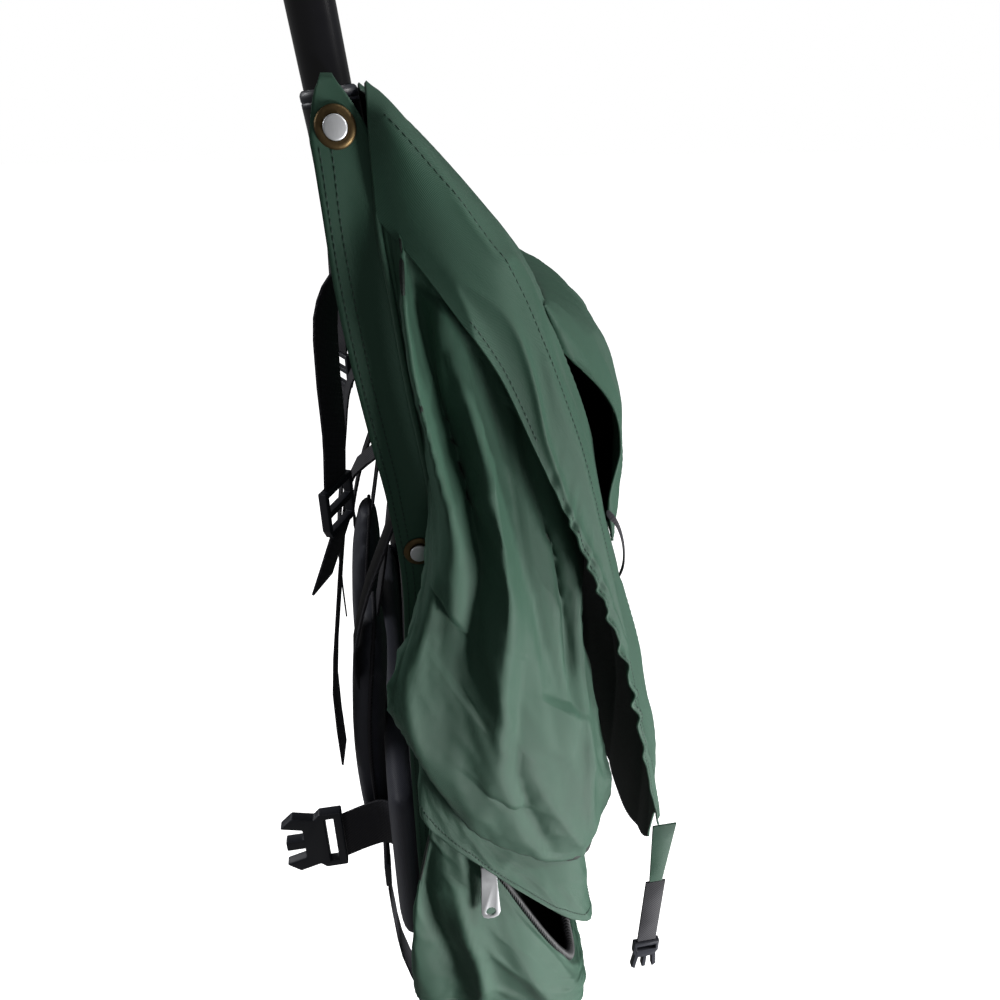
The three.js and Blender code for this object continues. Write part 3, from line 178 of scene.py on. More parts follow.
def blotches_group():
    """Uneven colour and roughness from handling: object coordinates in, a colour and a roughness out"""
    group, given, out = group_of(
        "handled_blotches",
        [("Scale", "NodeSocketFloat", 30.0), ("Colour", "NodeSocketColor", None), ("Worn", "NodeSocketColor", None),
         ("Roughness", "NodeSocketFloat", 0.4), ("Spread", "NodeSocketFloat", 0.1)],
        [("Colour", "NodeSocketColor"), ("Roughness", "NodeSocketFloat"), ("Height", "NodeSocketFloat")],
    )
    place = group.nodes.new("ShaderNodeTexCoord")
    cloud = group.nodes.new("ShaderNodeTexNoise")
    cloud.inputs["Detail"].default_value = 6.0
    cloud.inputs["Roughness"].default_value = 0.6
    mix = group.nodes.new("ShaderNodeMix")
    mix.data_type = "RGBA"
    gloss = group.nodes.new("ShaderNodeMath")
    gloss.operation = "MULTIPLY_ADD"
    link = group.links.new
    link(place.outputs["Object"], cloud.inputs["Vector"])
    link(given.outputs["Scale"], cloud.inputs["Scale"])
    link(cloud.outputs["Fac"], mix.inputs["Factor"])
    link(given.outputs["Colour"], mix.inputs["A"])
    link(given.outputs["Worn"], mix.inputs["B"])
    link(cloud.outputs["Fac"], gloss.inputs[0])
    link(given.outputs["Spread"], gloss.inputs[1])
    link(given.outputs["Roughness"], gloss.inputs[2])
    link(mix.outputs["Result"], out.inputs["Colour"])
    link(gloss.outputs[0], out.inputs["Roughness"])
    link(cloud.outputs["Fac"], out.inputs["Height"])
    return group


BLOTCHES = blotches_group()


def blotched(name, colour, worn, roughness, spread, scale, metallic=0.0, bump=0.0):
    """A hard finish with handled blotches"""
    material, shader, tree = new_material(name, colour, roughness, metallic)
    marks = tree.nodes.new("ShaderNodeGroup")
    marks.node_tree = BLOTCHES
    marks.inputs["Scale"].default_value = scale
    marks.inputs["Colour"].default_value = (*colour, 1)
    marks.inputs["Worn"].default_value = (*worn, 1)
    marks.inputs["Roughness"].default_value = roughness
    marks.inputs["Spread"].default_value = spread
    tree.links.new(marks.outputs["Colour"], shader.inputs["Base Color"])
    tree.links.new(marks.outputs["Roughness"], shader.inputs["Roughness"])
    if bump:
        relief = tree.nodes.new("ShaderNodeBump")
        relief.inputs["Strength"].default_value = bump
        relief.inputs["Distance"].default_value = 0.0004
        tree.links.new(marks.outputs["Height"], relief.inputs["Height"])
        tree.links.new(relief.outputs["Normal"], shader.inputs["Normal"])
    return material


enamel = blotched("black_enamel", (0.002, 0.002, 0.003), (0.005, 0.005, 0.007), 0.12, 0.1, 60)
enamel.node_tree.nodes["Principled BSDF"].inputs["Coat Weight"].default_value = 0.25
enamel.node_tree.nodes["Principled BSDF"].inputs["Coat Roughness"].default_value = 0.08
moulded = blotched("moulded_black", (0.013, 0.014, 0.021), (0.022, 0.025, 0.036), 0.36, 0.15, 180,
                   bump=0.15)

COLLAR_HEIGHT = 6.5
for side, sign in (("left", -1), ("right", 1)):
    heights = np.linspace(RAIL_TOP - COLLAR_HEIGHT, RAIL_TOP - FRAME_HEIGHT, 90)
    line = np.column_stack([np.full(90, sign * RAIL_X), rail_y(heights), heights])
    tube(f"rail_tube_{side}", line, RAIL_R, material=enamel, replaced=[f"rail_{side}"])

EXTENSION_R, CORNER, INSERT = 9.9, 52.0, 56.0
leg = [(RAIL_X, float(rail_y(z)), z) for z in np.linspace(RAIL_TOP - INSERT, RAIL_TOP, 8)[:-1]]
for z in np.linspace(RAIL_TOP, EXTENSION_R - CORNER, 8)[:-1]:
    leg.append((RAIL_X, -LEAN * (EXTENSION_R - z) / (EXTENSION_R - RAIL_TOP), z))
for turn in np.linspace(0, math.pi / 2, 16):
    z = EXTENSION_R - CORNER * (1 - math.sin(turn))
    leg.append((RAIL_X - CORNER * (1 - math.cos(turn)), -LEAN * (EXTENSION_R - z) / (EXTENSION_R - RAIL_TOP), z))
tube("extension_tube", leg + [(-x, y, z) for x, y, z in reversed(leg)], EXTENSION_R, material=enamel,
     replaced=["extension_bar"])

for label, down in (("top", 0.115), ("shoulder", 0.245), ("waist", 0.62), ("low", 0.93)):
    z = RAIL_TOP - FRAME_HEIGHT * down
    x = np.linspace(-RAIL_X + RAIL_R - 3, RAIL_X - RAIL_R + 3, 40)
    line = np.column_stack([x, float(rail_y(z)) - CROSS_BOW * (1 - (x / RAIL_X) ** 2), np.full(40, z)])
    tube(f"cross_tube_{label}", line, CROSS_R, material=enamel, replaced=[f"cross_bar_{label}"])

# Collars, feet and fixings. Black plastic collars line the rails' tops, moulded feet cap their lower ends, and
# silver clevis pins with split rings run through brass grommets in the bag's flanges.
def turned(name, profile, centre, axis, material, replaced=(), segments=56):
    """A lathe-turned piece: profile holds (radius, height) pairs in millimetres along axis from centre"""
    axis = np.asarray(axis, float) / np.linalg.norm(axis)
    first = np.cross(axis, (0.0, 0.0, 1.0) if abs(axis[2]) < 0.9 else (1.0, 0.0, 0.0))
    first /= np.linalg.norm(first)
    second = np.cross(axis, first)
    points, faces = [], []
    for radius, height in profile:
        for k in range(segments):
            turn = 2 * math.pi * k / segments
            spoke = first * math.cos(turn) + second * math.sin(turn)
            points.append((np.asarray(centre) + axis * height + spoke * max(radius, 0.001)) * MM)
    for j in range(len(profile) - 1):
        for k in range(segments):
            a, b = j * segments + k, j * segments + (k + 1) % segments
            faces.append((a, b, b + segments, a + segments))
    mesh = bpy.data.meshes.new(name)
    mesh.from_pydata([tuple(p) for p in points], [], faces)
    shell = bmesh.new()
    shell.from_mesh(mesh)
    bmesh.ops.remove_doubles(shell, verts=shell.verts, dist=2e-6)
    bmesh.ops.recalc_face_normals(shell, faces=shell.faces)
    shell.to_mesh(mesh)
    shell.free()
    return finished(name, mesh, material, replaced)


lean_axis = (0.0, LEAN / 118.0, 1.0)
for side, sign in (("left", -1), ("right", 1)):
    foot = np.array([sign * RAIL_X, float(rail_y(RAIL_TOP - COLLAR_HEIGHT)), RAIL_TOP - COLLAR_HEIGHT])
    turned(f"collar_{side}", [
        (10.8, 0), (12, 0), (12, 1.6), (11.75, 1.9), (11.75, 2.3), (12, 2.6), (12, 4.7), (11.6, 5.6), (10.9, 6.3),
        (10.3, 6.5), (10.1, 6.3), (10.1, 0), (10.8, 0),
    ], foot, lean_axis, moulded, [f"rail_collar_{side}"])
    end = np.array([sign * RAIL_X, float(rail_y(RAIL_TOP - FRAME_HEIGHT)), RAIL_TOP - FRAME_HEIGHT])
    turned(f"foot_cap_{side}", [
        (0, -14), (11, -14), (12.6, -13.6), (13.6, -12.6), (14, -11), (14, 0.6), (13.4, 1.6), (12.4, 2), (0, 2),
    ], end, (0, -0.05, 1), moulded)

zinc = blotched("zinc_plate", (0.72, 0.73, 0.75), (0.55, 0.56, 0.58), 0.38, 0.2, 240,
                metallic=0.7, bump=0.25)
brass = blotched("worn_brass", (0.2, 0.135, 0.062), (0.06, 0.042, 0.022), 0.34, 0.3, 320,
                 metallic=1.0, bump=0.3)
FLANGE_X, CLOTH = 169.0, 1.4
PIN_HEIGHTS = {"upper": RAIL_TOP - 14.0, "lower": RAIL_TOP - 219.0}
SPLIT_RING_R, SPLIT_RING_X, SPLIT_WIRE_R = 7.5, 142.2, 0.65
for side, sign in (("left", -1), ("right", 1)):
    for level, z in PIN_HEIGHTS.items():
        y = float(rail_y(z))
        face = np.array([sign * (FLANGE_X + CLOTH / 2), y, z])
        outward = (sign, 0, 0)
        turned(f"brass_ring_{level}_{side}", [
            (3.7, -1.4), (3.9, -1.4), (3.9, 0.3), (8.2, 0.3), (8.4, 0.5), (8.2, 1.0), (7.4, 1.55), (6.2, 1.8),
            (5.2, 1.6), (4.4, 1.1), (3.8, 0.6), (3.5, 0), (3.5, -1.4), (3.7, -1.4),
        ], face, outward, brass, [f"grommet_{level}_{side}"])
        turned(f"clevis_pin_{level}_{side}", [
            (0, -28.6), (2.6, -28.6), (3.1, -28), (3.1, 2.1), (4.6, 2.1), (4.9, 2.4), (4.9, 3.1), (4.7, 3.5),
            (4.1, 3.7), (0, 3.75),
        ], face, outward, zinc, [f"pin_{level}_{side}"])
        ring = [(sign * (SPLIT_RING_X + 0.8 * math.sin(turn / 2)), y + SPLIT_RING_R * math.sin(turn),
                 z - SPLIT_RING_R + SPLIT_RING_R * math.cos(turn)) for turn in np.linspace(0, 4 * math.pi, 72)]
        tube(f"split_ring_{level}_{side}", ring, SPLIT_WIRE_R, 8, zinc)

# Flanges: a double layer of pack cloth on the outside of each rail, hemmed with two rows of stitching, with
# the grommets set in it and a piped seam along its front edge where the bag starts.
# A sheet's outer side is told by a line inside what it covers: INSIDE_Y for the bags, BEHIND_Y for the lid.
INSIDE_Y, BEHIND_Y = -0.085, -0.03


def cloth_mesh(name, grid, material, replaced=(), wall=CLOTH, loop=False, hub=False, faces_front=False):
    """A sheet of cloth from a grid of places in millimetres, with its UV map in metres along the cloth"""
    rows, columns = grid.shape[:2]
    across = columns if loop else columns - 1
    along_u = np.linalg.norm(np.diff(grid, axis=1, append=grid[:, :1]), axis=2)
    u = np.concatenate([[0], np.cumsum(along_u.mean(axis=0))])
    v = np.concatenate([[0], np.cumsum(np.linalg.norm(np.diff(grid, axis=0), axis=2).mean(axis=1))])
    faces, places = [], []
    for j in range(rows - 1):
        for i in range(across):
            k = (i + 1) % columns
            faces.append((j * columns + i, j * columns + k, (j + 1) * columns + k, (j + 1) * columns + i))
            places += [(u[i], v[j]), (u[i + 1], v[j]), (u[i + 1], v[j + 1]), (u[i], v[j + 1])]
    points = [tuple(p) for p in grid.reshape(-1, 3) * MM]
    if hub:
        points.append(tuple(grid[-1].mean(axis=0) * MM))
        for i in range(across):
            k = (i + 1) % columns
            faces.append(((rows - 1) * columns + i, (rows - 1) * columns + k, len(points) - 1))
            places += [(u[i], v[-1]), (u[i + 1], v[-1]), (u[i], v[-1] + 20)]
    mesh = bpy.data.meshes.new(name)
    mesh.from_pydata(points, [], faces)
    layer = mesh.uv_layers.new(name="cloth")
    layer.data.foreach_set("uv", (np.array(places) * MM).ravel())
    heart = BEHIND_Y if faces_front else INSIDE_Y
    facing = sum(face.area * face.normal.dot(face.center - Vector((0, heart, face.center.z))) for face in mesh.polygons)
    if facing < 0:
        mesh.flip_normals()
    piece = finished(name, mesh, material, replaced)
    # The sheet's inner side takes the near-black inside cloth, a painted shade that darkens the hollows inside the bag,
    # lid and pocket
    mesh.materials.append(inside_shade)
    thick = piece.modifiers.new("cloth", "SOLIDIFY")
    thick.thickness, thick.offset, thick.material_offset = wall * MM, 0, 1
    thick.material_offset_rim = 0
    return piece


def normals_of(grid, loop=False):
    """The direction square to a grid of places at each of them"""
    du = (np.roll(grid, -1, axis=1) - np.roll(grid, 1, axis=1)) if loop else np.gradient(grid, axis=1)
    normal = np.cross(du, np.gradient(grid, axis=0))
    return normal / np.maximum(np.linalg.norm(normal, axis=2, keepdims=True), 1e-9)


def weave_group():
    """Twill of the pack cloth: its UV map in metres in, the relief of the threads and their shade out"""
    group, given, out = group_of(
        "twill_weave", [("Vector", "NodeSocketVector", None), ("Scale", "NodeSocketFloat", 400.0)],
        [("Height", "NodeSocketFloat"), ("Shade", "NodeSocketFloat")],
    )
    link = group.links.new
    twill, cross = group.nodes.new("ShaderNodeTexWave"), group.nodes.new("ShaderNodeTexWave")
    twill.wave_type = cross.wave_type = "BANDS"
    twill.bands_direction, cross.bands_direction = "DIAGONAL", "X"
    for wave, distortion in ((twill, 0.6), (cross, 0.3)):
        link(given.outputs["Vector"], wave.inputs["Vector"])
        link(given.outputs["Scale"], wave.inputs["Scale"])
        wave.inputs["Distortion"].default_value = distortion
        wave.inputs["Detail Scale"].default_value = 0.2
    half = group.nodes.new("ShaderNodeMath")
    half.operation, half.inputs[1].default_value = "MULTIPLY", 0.45
    both = group.nodes.new("ShaderNodeMath")
    both.operation = "ADD"
    shade = group.nodes.new("ShaderNodeMapRange")
    shade.inputs["To Min"].default_value, shade.inputs["To Max"].default_value = 0.78, 1.0
    link(cross.outputs["Fac"], half.inputs[0])
    link(twill.outputs["Fac"], both.inputs[0])
    link(half.outputs[0], both.inputs[1])
    link(both.outputs[0], out.inputs["Height"])
    link(twill.outputs["Fac"], shade.inputs["Value"])
    link(shade.outputs["Result"], out.inputs["Shade"])
    return group


WEAVE = weave_group()


def woven(name, colour, worn, roughness, scale, sheen, on_uv, bump=0.35):
    """A woven finish: threads in relief, faded blotches and a soft sheen"""
    material, shader, tree = new_material(name, colour, roughness)
    shader.inputs["Sheen Weight"].default_value = sheen
    shader.inputs["Sheen Roughness"].default_value = 0.45
    shader.inputs["Specular IOR Level"].default_value = 0.35
    threads, marks = tree.nodes.new("ShaderNodeGroup"), tree.nodes.new("ShaderNodeGroup")
    threads.node_tree, marks.node_tree = WEAVE, BLOTCHES
    threads.inputs["Scale"].default_value = scale
    marks.inputs["Scale"].default_value = 14
    marks.inputs["Colour"].default_value = (*colour, 1)
    marks.inputs["Worn"].default_value = (*worn, 1)
    marks.inputs["Roughness"].default_value = roughness
    marks.inputs["Spread"].default_value = 0.12
    place = tree.nodes.new("ShaderNodeUVMap" if on_uv else "ShaderNodeTexCoord")
    if on_uv:
        place.uv_map = "cloth"
    tree.links.new(place.outputs["UV" if on_uv else "Object"], threads.inputs["Vector"])
    tint = tree.nodes.new("ShaderNodeMix")
    tint.data_type, tint.blend_type = "RGBA", "MULTIPLY"
    tint.inputs["Factor"].default_value = 1.0
    relief = tree.nodes.new("ShaderNodeBump")
    relief.inputs["Strength"].default_value = bump
    relief.inputs["Distance"].default_value = 0.00025
    tree.links.new(marks.outputs["Colour"], tint.inputs["A"])
    tree.links.new(threads.outputs["Shade"], tint.inputs["B"])
    tree.links.new(tint.outputs["Result"], shader.inputs["Base Color"])
    tree.links.new(marks.outputs["Roughness"], shader.inputs["Roughness"])
    tree.links.new(threads.outputs["Height"], relief.inputs["Height"])
    tree.links.new(relief.outputs["Normal"], shader.inputs["Normal"])
    return material


green = woven("green_pack_cloth", (0.019, 0.068, 0.041), (0.033, 0.1, 0.064), 0.55, 900, 0.05, True)
# Inner side of every cloth sheet: near-black, a painted shade for the hollows inside the bag, lid and pocket
inside_shade = woven("inside_painted_shade", (0.004, 0.009, 0.007), (0.006, 0.014, 0.01), 0.6, 300, 0.0, True)
green_plain = woven("green_bound_cloth", (0.017, 0.062, 0.037), (0.03, 0.09, 0.058), 0.55, 900, 0.05,
                    False)
thread_green = blotched("green_thread", (0.008, 0.032, 0.021), (0.014, 0.045, 0.03), 0.55, 0.1, 400)


def repeat_tree():
    """Sets copies of one small solid along a line of edges, turned along it"""
    tree = bpy.data.node_groups.new("repeat_along", "GeometryNodeTree")
    for label, kind, way in (("Geometry", "NodeSocketGeometry", "INPUT"), ("Pitch", "NodeSocketFloat", "INPUT"),
                             ("Solid", "NodeSocketObject", "INPUT"), ("Material", "NodeSocketMaterial", "INPUT"),
                             ("Geometry", "NodeSocketGeometry", "OUTPUT")):
        tree.interface.new_socket(label, in_out=way, socket_type=kind)
    given, out = tree.nodes.new("NodeGroupInput"), tree.nodes.new("NodeGroupOutput")
    line = tree.nodes.new("GeometryNodeMeshToCurve")
    spots = tree.nodes.new("GeometryNodeCurveToPoints")
    spots.mode = "LENGTH"
    turn = tree.nodes.new("FunctionNodeAlignRotationToVector")
    turn.axis = "Z"
    solid = tree.nodes.new("GeometryNodeObjectInfo")
    placed = tree.nodes.new("GeometryNodeInstanceOnPoints")
    real = tree.nodes.new("GeometryNodeRealizeInstances")
    coat = tree.nodes.new("GeometryNodeSetMaterial")
    link = tree.links.new
    link(given.outputs["Geometry"], line.inputs["Mesh"])
    link(line.outputs["Curve"], spots.inputs["Curve"])
    link(given.outputs["Pitch"], spots.inputs["Length"])
    link(spots.outputs["Tangent"], turn.inputs["Vector"])
    link(given.outputs["Solid"], solid.inputs["Object"])
    link(spots.outputs["Points"], placed.inputs["Points"])
    link(solid.outputs["Geometry"], placed.inputs["Instance"])
    link(turn.outputs["Rotation"], placed.inputs["Rotation"])
    link(placed.outputs["Instances"], real.inputs["Geometry"])
    link(real.outputs["Geometry"], coat.inputs["Geometry"])
    link(given.outputs["Material"], coat.inputs["Material"])
    link(coat.outputs["Geometry"], out.inputs["Geometry"])
    return tree


REPEAT = repeat_tree()


def small_solid(name, radius, half, sides=5):
    """A short round thread or tooth along Z, in millimetres, for the repeats"""
    rings = [(0.35, -1.0), (1.0, -0.65), (1.0, 0.65), (0.35, 1.0)]
    spokes = [2 * math.pi * k / sides for k in range(sides)]
    points = [(radius * r * math.cos(turn) * MM, radius * r * math.sin(turn) * MM, half * h * MM)
              for r, h in rings for turn in spokes]
    faces = [(j * sides + k, j * sides + (k + 1) % sides, (j + 1) * sides + (k + 1) % sides, (j + 1) * sides + k)
             for j in range(3) for k in range(sides)]
    faces += [tuple(range(sides))[::-1], tuple(range(3 * sides, 4 * sides))]
    mesh = bpy.data.meshes.new(name)
    mesh.from_pydata(points, [], faces)
    solid = bpy.data.objects.new(name, mesh)
    bpy.context.collection.objects.link(solid)
    return solid


def repeated(name, lines, pitch, solid, material):
    """One piece with the solid repeated along each line of places in millimetres"""
    points, edges = [], []
    for line in lines:
        start = len(points)
        points += [tuple(np.asarray(p) * MM) for p in line]
        edges += [(k, k + 1) for k in range(start, len(points) - 1)]
    mesh = bpy.data.meshes.new(name + "_line")
    mesh.from_pydata(points, edges, [])
    carrier = bpy.data.objects.new(name + "_line", mesh)
    bpy.context.collection.objects.link(carrier)
    maker = carrier.modifiers.new("repeat", "NODES")
    maker.node_group = REPEAT
    names = {item.name: item.identifier for item in REPEAT.interface.items_tree if item.in_out == "INPUT"}
    maker[names["Pitch"]] = pitch * MM
    maker[names["Solid"]] = solid
    maker[names["Material"]] = material
    result = bpy.data.meshes.new_from_object(carrier.evaluated_get(bpy.context.evaluated_depsgraph_get()))
    carrier.modifiers.remove(maker)
    bpy.data.objects.remove(carrier)
    return finished(name, result, material)


STITCH_PITCH = 3.4
stitch = small_solid("one_stitch", 0.32, 1.25)
BAG_HEIGHT, FLANGE_WIDTH, HEM_REACH, SEAM_RISE = 680.0, 25.0, 11.5, 14.0
SEAM_AT = [0, 0.035, 0.075, 0.12, 0.18, 0.245, 0.29, 0.42, 1]
seam_wide = smooth_through(SEAM_AT, [1.04, 1.0, 0.9, 0.97, 0.96, 0.94, 0.84, 0.8, 0.8])
seam_out = smooth_through(SEAM_AT, [0, 0, 0.2, 0.7, 1, 0.7, 0, 0, 0])


def seam_y(z):
    return rail_y(z) + HEM_REACH - FLANGE_WIDTH * seam_wide((RAIL_TOP - z) / BAG_HEIGHT)


def seam_x(z):
    return FLANGE_X + SEAM_RISE * np.maximum(0, seam_out((RAIL_TOP - z) / BAG_HEIGHT))


def flange_grid(sign, columns, rows):
    """Places on one flange, which comes to a point at the rail's top"""
    heights = np.linspace(RAIL_TOP + 5, RAIL_TOP - 0.97 * BAG_HEIGHT, rows)
    grid = np.zeros((rows, columns, 3))
    for j, z in enumerate(heights):
        open_share = float(np.clip(j / (rows - 1) / 0.035, 0.05, 1)) ** 0.6
        u = np.linspace(0, 1, columns)
        y = rail_y(z) + (HEM_REACH + (seam_y(z) - rail_y(z) - HEM_REACH) * u) * open_share
        wave = 0.5 * noise.noise(Vector((0, 3.1, z * 0.03))) * (1 - u)
        x = FLANGE_X + (seam_x(z) - FLANGE_X) * np.clip((u - 0.45) / 0.55, 0, 1) ** 1.5 + wave
        grid[j] = np.column_stack([sign * x, y, np.full(columns, z)])
    return grid


flange_stitches = []
for side, sign in (("left", -1), ("right", 1)):
    grid = flange_grid(sign, 13, 240)
    cloth_mesh(f"flange_cloth_{side}", grid, green, [f"flange_{side}"])
    for u in (1.6, 3.9):
        column = grid[10:, int(u)] * (1 - u % 1) + grid[10:, int(u) + 1] * (u % 1)
        flange_stitches.append(column + np.array([sign * 0.8, 0, 0]))
    tube(f"flange_piping_{side}", grid[12:, -1] + np.array([sign * 0.4, -0.3, 0]), 1.5, 12, green_plain)
repeated("flange_stitching", flange_stitches, STITCH_PITCH, stitch, thread_green)

# Upper bag: one long tube of coated pack cloth that hangs empty, open under the lid. Its sides sag beyond the
# rails in long diagonal folds that gather above the storm flap.
# Its section runs through eight places from the middle of the back to the middle of the front, and mirrored.
BAG_DEPTH, BAG_BULGE, BAG_SIDE_X, FRONT_X, FOLD_DEPTH = 130.0, 42.0, 168.0, 0.72 * RAIL_X, 17.0
PLACES = ["back", "corner", "piping", "belly", "side", "seam", "front", "mid"]
LOOP = 2 * (len(PLACES) - 1)
BACK_PANEL = CROSS_BOW + CROSS_R + 0.3 + CLOTH
PIPING_OUT, PIPING_FWD = 0.28, 2.66


def through_points(points, t, closed):
    """A smooth curve through points with even knots by distance, for an array of shares t"""
    points = np.asarray(points, float)
    count = len(points)
    where = np.asarray(t) * (count if closed else count - 1)
    i = np.floor(where).astype(int)
    if not closed:
        i = np.clip(i, 0, count - 2)
    w = (where - i)[:, None]
    if closed:
        a, b, c, d = (points[(i + k) % count] for k in (-1, 0, 1, 2))
    else:
        padded = np.vstack([2 * points[0] - points[1], points, 2 * points[-1] - points[-2]])
        a, b, c, d = (padded[i + k] for k in (0, 1, 2, 3))
    gaps = [np.maximum((np.sum((q - p) ** 2, axis=1) ** 0.25)[:, None], 1e-4) for p, q in ((a, b), (b, c), (c, d))]
    g0, g1, g2 = gaps
    start = ((b - a) / g0 - (c - a) / (g0 + g1) + (c - b) / g1) * g1
    end = ((c - b) / g1 - (d - b) / (g1 + g2) + (d - c) / g2) * g1
    return b + w * (start + w * (3 * (c - b) - 2 * start - end + w * (2 * (b - c) + start + end)))


def bag_surface(rows, edges, folds):
    """The bag's outer face: an array of shares round its loop and one row in, places in millimetres out"""
    at = [row[0] for row in rows]
    curves = [smooth_through(at, [row[k] for row in rows]) for k in range(1, 9)]

    def surface(u, row):
        belly, belly_fwd, side, side_fwd, seam, seam_fwd, front_fwd, mid_fwd = (float(curve(row)) for curve in curves)
        points = []
        for place, name in enumerate(PLACES):
            top, low = edges[name]
            z = RAIL_TOP - BAG_HEIGHT * (top + (low - top) * (2 - row if row > 1 else row))
            rail = float(rail_y(z))
            x, y = [
                (0, rail - BACK_PANEL), (RAIL_X - RAIL_R, rail - BACK_PANEL),
                (float(seam_x(z)) + PIPING_OUT, float(seam_y(z)) - PIPING_FWD),
                (BAG_SIDE_X + belly * BAG_BULGE, rail - belly_fwd * BAG_DEPTH),
                (BAG_SIDE_X + side * BAG_BULGE, rail - side_fwd * BAG_DEPTH),
                (BAG_SIDE_X + seam * BAG_BULGE, rail - seam_fwd * BAG_DEPTH),
                (FRONT_X, rail - front_fwd * BAG_DEPTH), (0, rail - mid_fwd * BAG_DEPTH),
            ][place]
            points.append((x, y, z))
        points += [(-x, y, z) for x, y, z in reversed(points[1:-1])]
        spot = through_points(points, u, True)
        place = u * LOOP
        place = np.where(place > LOOP / 2, LOOP - place, place)
        lift = np.zeros_like(u)
        for from_place, from_row, to_place, to_row, high, wide in folds:
            if from_row <= row <= to_row:
                t = (row - from_row) / (to_row - from_row)
                sway = 0.09 * math.sin(2 * math.pi * t + 5 * from_place)
                across = (place - from_place - (to_place - from_place) * t - sway) / wide
                lift += high * FOLD_DEPTH * math.sin(math.pi * (0.1 + 0.8 * t)) * np.exp(-np.abs(across) ** 1.35)
        out = np.column_stack([spot[:, 0], spot[:, 1] - rail_y(spot[:, 2]) + 0.4 * BAG_DEPTH, np.zeros_like(u)])
        out /= np.maximum(np.linalg.norm(out, axis=1, keepdims=True), 1e-9)
        return spot + out * lift[:, None]

    return surface


def creased(grid, u, rows, height, seed, loop=True, slant=0.35):
    """Adds the small pulled wrinkles of empty cloth, which run down it at a slant, to a grid of places. A loop
    keeps its flat back plain"""
    lift = np.zeros(grid.shape[:2])
    for j, row in enumerate(rows):
        for i, share in enumerate(u):
            around = 2 * math.pi * share
            turn = around + slant * row
            p = Vector((2.2 * math.cos(turn), 2.2 * math.sin(turn), 1.6 * row + seed))
            warp = noise.noise(p * 1.3)
            broad = 1 - abs(noise.noise(p * 2.1 + Vector((warp, warp, 0))))
            fine = 1 - abs(noise.noise(p * 4.7 + Vector((0, warp * 1.5, 7))))
            lift[j, i] = 0.75 * (broad ** 4 - 0.5) + 0.3 * (fine ** 5 - 0.4)
            if loop:
                lift[j, i] *= min(max((min(share, 1 - share) * LOOP - 2.2) / 0.8, 0), 1)
    return grid + normals_of(grid, loop) * (height * lift)[..., None]


UPPER_ROWS = [
    (0, 0.12, 0.15, 0.02, 0.36, -0.55, 0.66, 0.68, 0.68), (0.2, 0.2, 0.14, 0.16, 0.36, -0.25, 0.68, 0.74, 0.74),
    (0.45, 0.26, 0.1, 0.5, 0.34, 0.05, 0.72, 0.82, 0.82), (0.68, 0.55, -0.02, 0.85, 0.3, 0.3, 0.77, 0.98, 0.96),
    (0.88, 0.8, -0.17, 0.92, 0.27, 0.35, 0.82, 1.08, 1.05), (1, 0.55, -0.1, 0.74, 0.26, 0.2, 0.82, 1.02, 0.98),
    (1.15, 0.1, 0.16, 0.2, 0.34, -0.2, 0.74, 0.86, 0.86),
]
UPPER_EDGES = {"back": (0.035, 0.62), "corner": (0.045, 0.6), "piping": (0.06, 0.52), "belly": (0.07, 0.474),
               "side": (0.095, 0.625), "seam": (0.2, 0.72), "front": (0.29, 0.735), "mid": (0.31, 0.76)}
UPPER_FOLDS = [
    (3.05, 0.02, 3.4, 0.62, 0.9, 0.17), (3.3, 0.05, 3.72, 0.72, -0.62, 0.14), (3.65, 0.1, 4.2, 0.85, 0.95, 0.22),
    (4.0, 0.12, 4.55, 0.6, -0.5, 0.16), (4.5, 0.15, 4.8, 0.6, -0.8, 0.2), (5.3, 0.4, 5.6, 0.95, 0.6, 0.2),
    (4.05, 0.55, 4.5, 0.98, -0.35, 0.1), (5.0, 0.35, 5.15, 0.95, 0.35, 0.14),
]
upper_surface = bag_surface(UPPER_ROWS, UPPER_EDGES, UPPER_FOLDS)
shares = np.arange(270) / 270
rows = np.linspace(0, 1.15, 150)
grid = np.array([upper_surface(shares, row) for row in rows])
grid = creased(grid, shares, rows, 4.4, 1.0)
middle = grid[-1].mean(axis=0)
closing = [grid[-1] + (middle - grid[-1]) * t for t in (0.25, 0.5, 0.75, 0.92)]
cloth_mesh("upper_bag", np.concatenate([grid, closing]), green, ["bag_upper"], loop=True, hub=True)

# Storm flap: a doubled strip of the same cloth, sewn round the bag in the seam between its two rooms. It hangs
# over the zip of the lower bag and has a row of stitching along its free edge.
FLAP_ROWS = [(0, 0.2, -0.02, 0.5, 0.27, 0.12, 0.8, 0.87, 0.87), (1, 0.5, -0.06, 0.72, 0.3, 0.4, 0.87, 0.94, 0.94)]
FLAP_EDGES = {"back": (0.496, 0.56), "corner": (0.496, 0.56), "piping": (0.496, 0.56), "belly": (0.493, 0.588),
              "side": (0.632, 0.683), "seam": (0.722, 0.815), "front": (0.735, 0.85), "mid": (0.758, 0.855)}
flap_surface = bag_surface(FLAP_ROWS, FLAP_EDGES, [])
shares = np.linspace(2.7 / LOOP, 1 - 2.7 / LOOP, 260)
rows = np.linspace(0, 1, 26)
grid = np.array([flap_surface(shares, row) for row in rows])
grid = creased(grid, shares, rows * 0.4, 2.4, 5.0, loop=False)
cloth_mesh("storm_flap_cloth", grid, green, ["storm_flap"], wall=1.8)
hem_lines = [grid[-4] + normals_of(grid)[-4] * sign for sign in (1.1, -1.1)]
repeated("flap_stitching", hem_lines, STITCH_PITCH, stitch, thread_green)

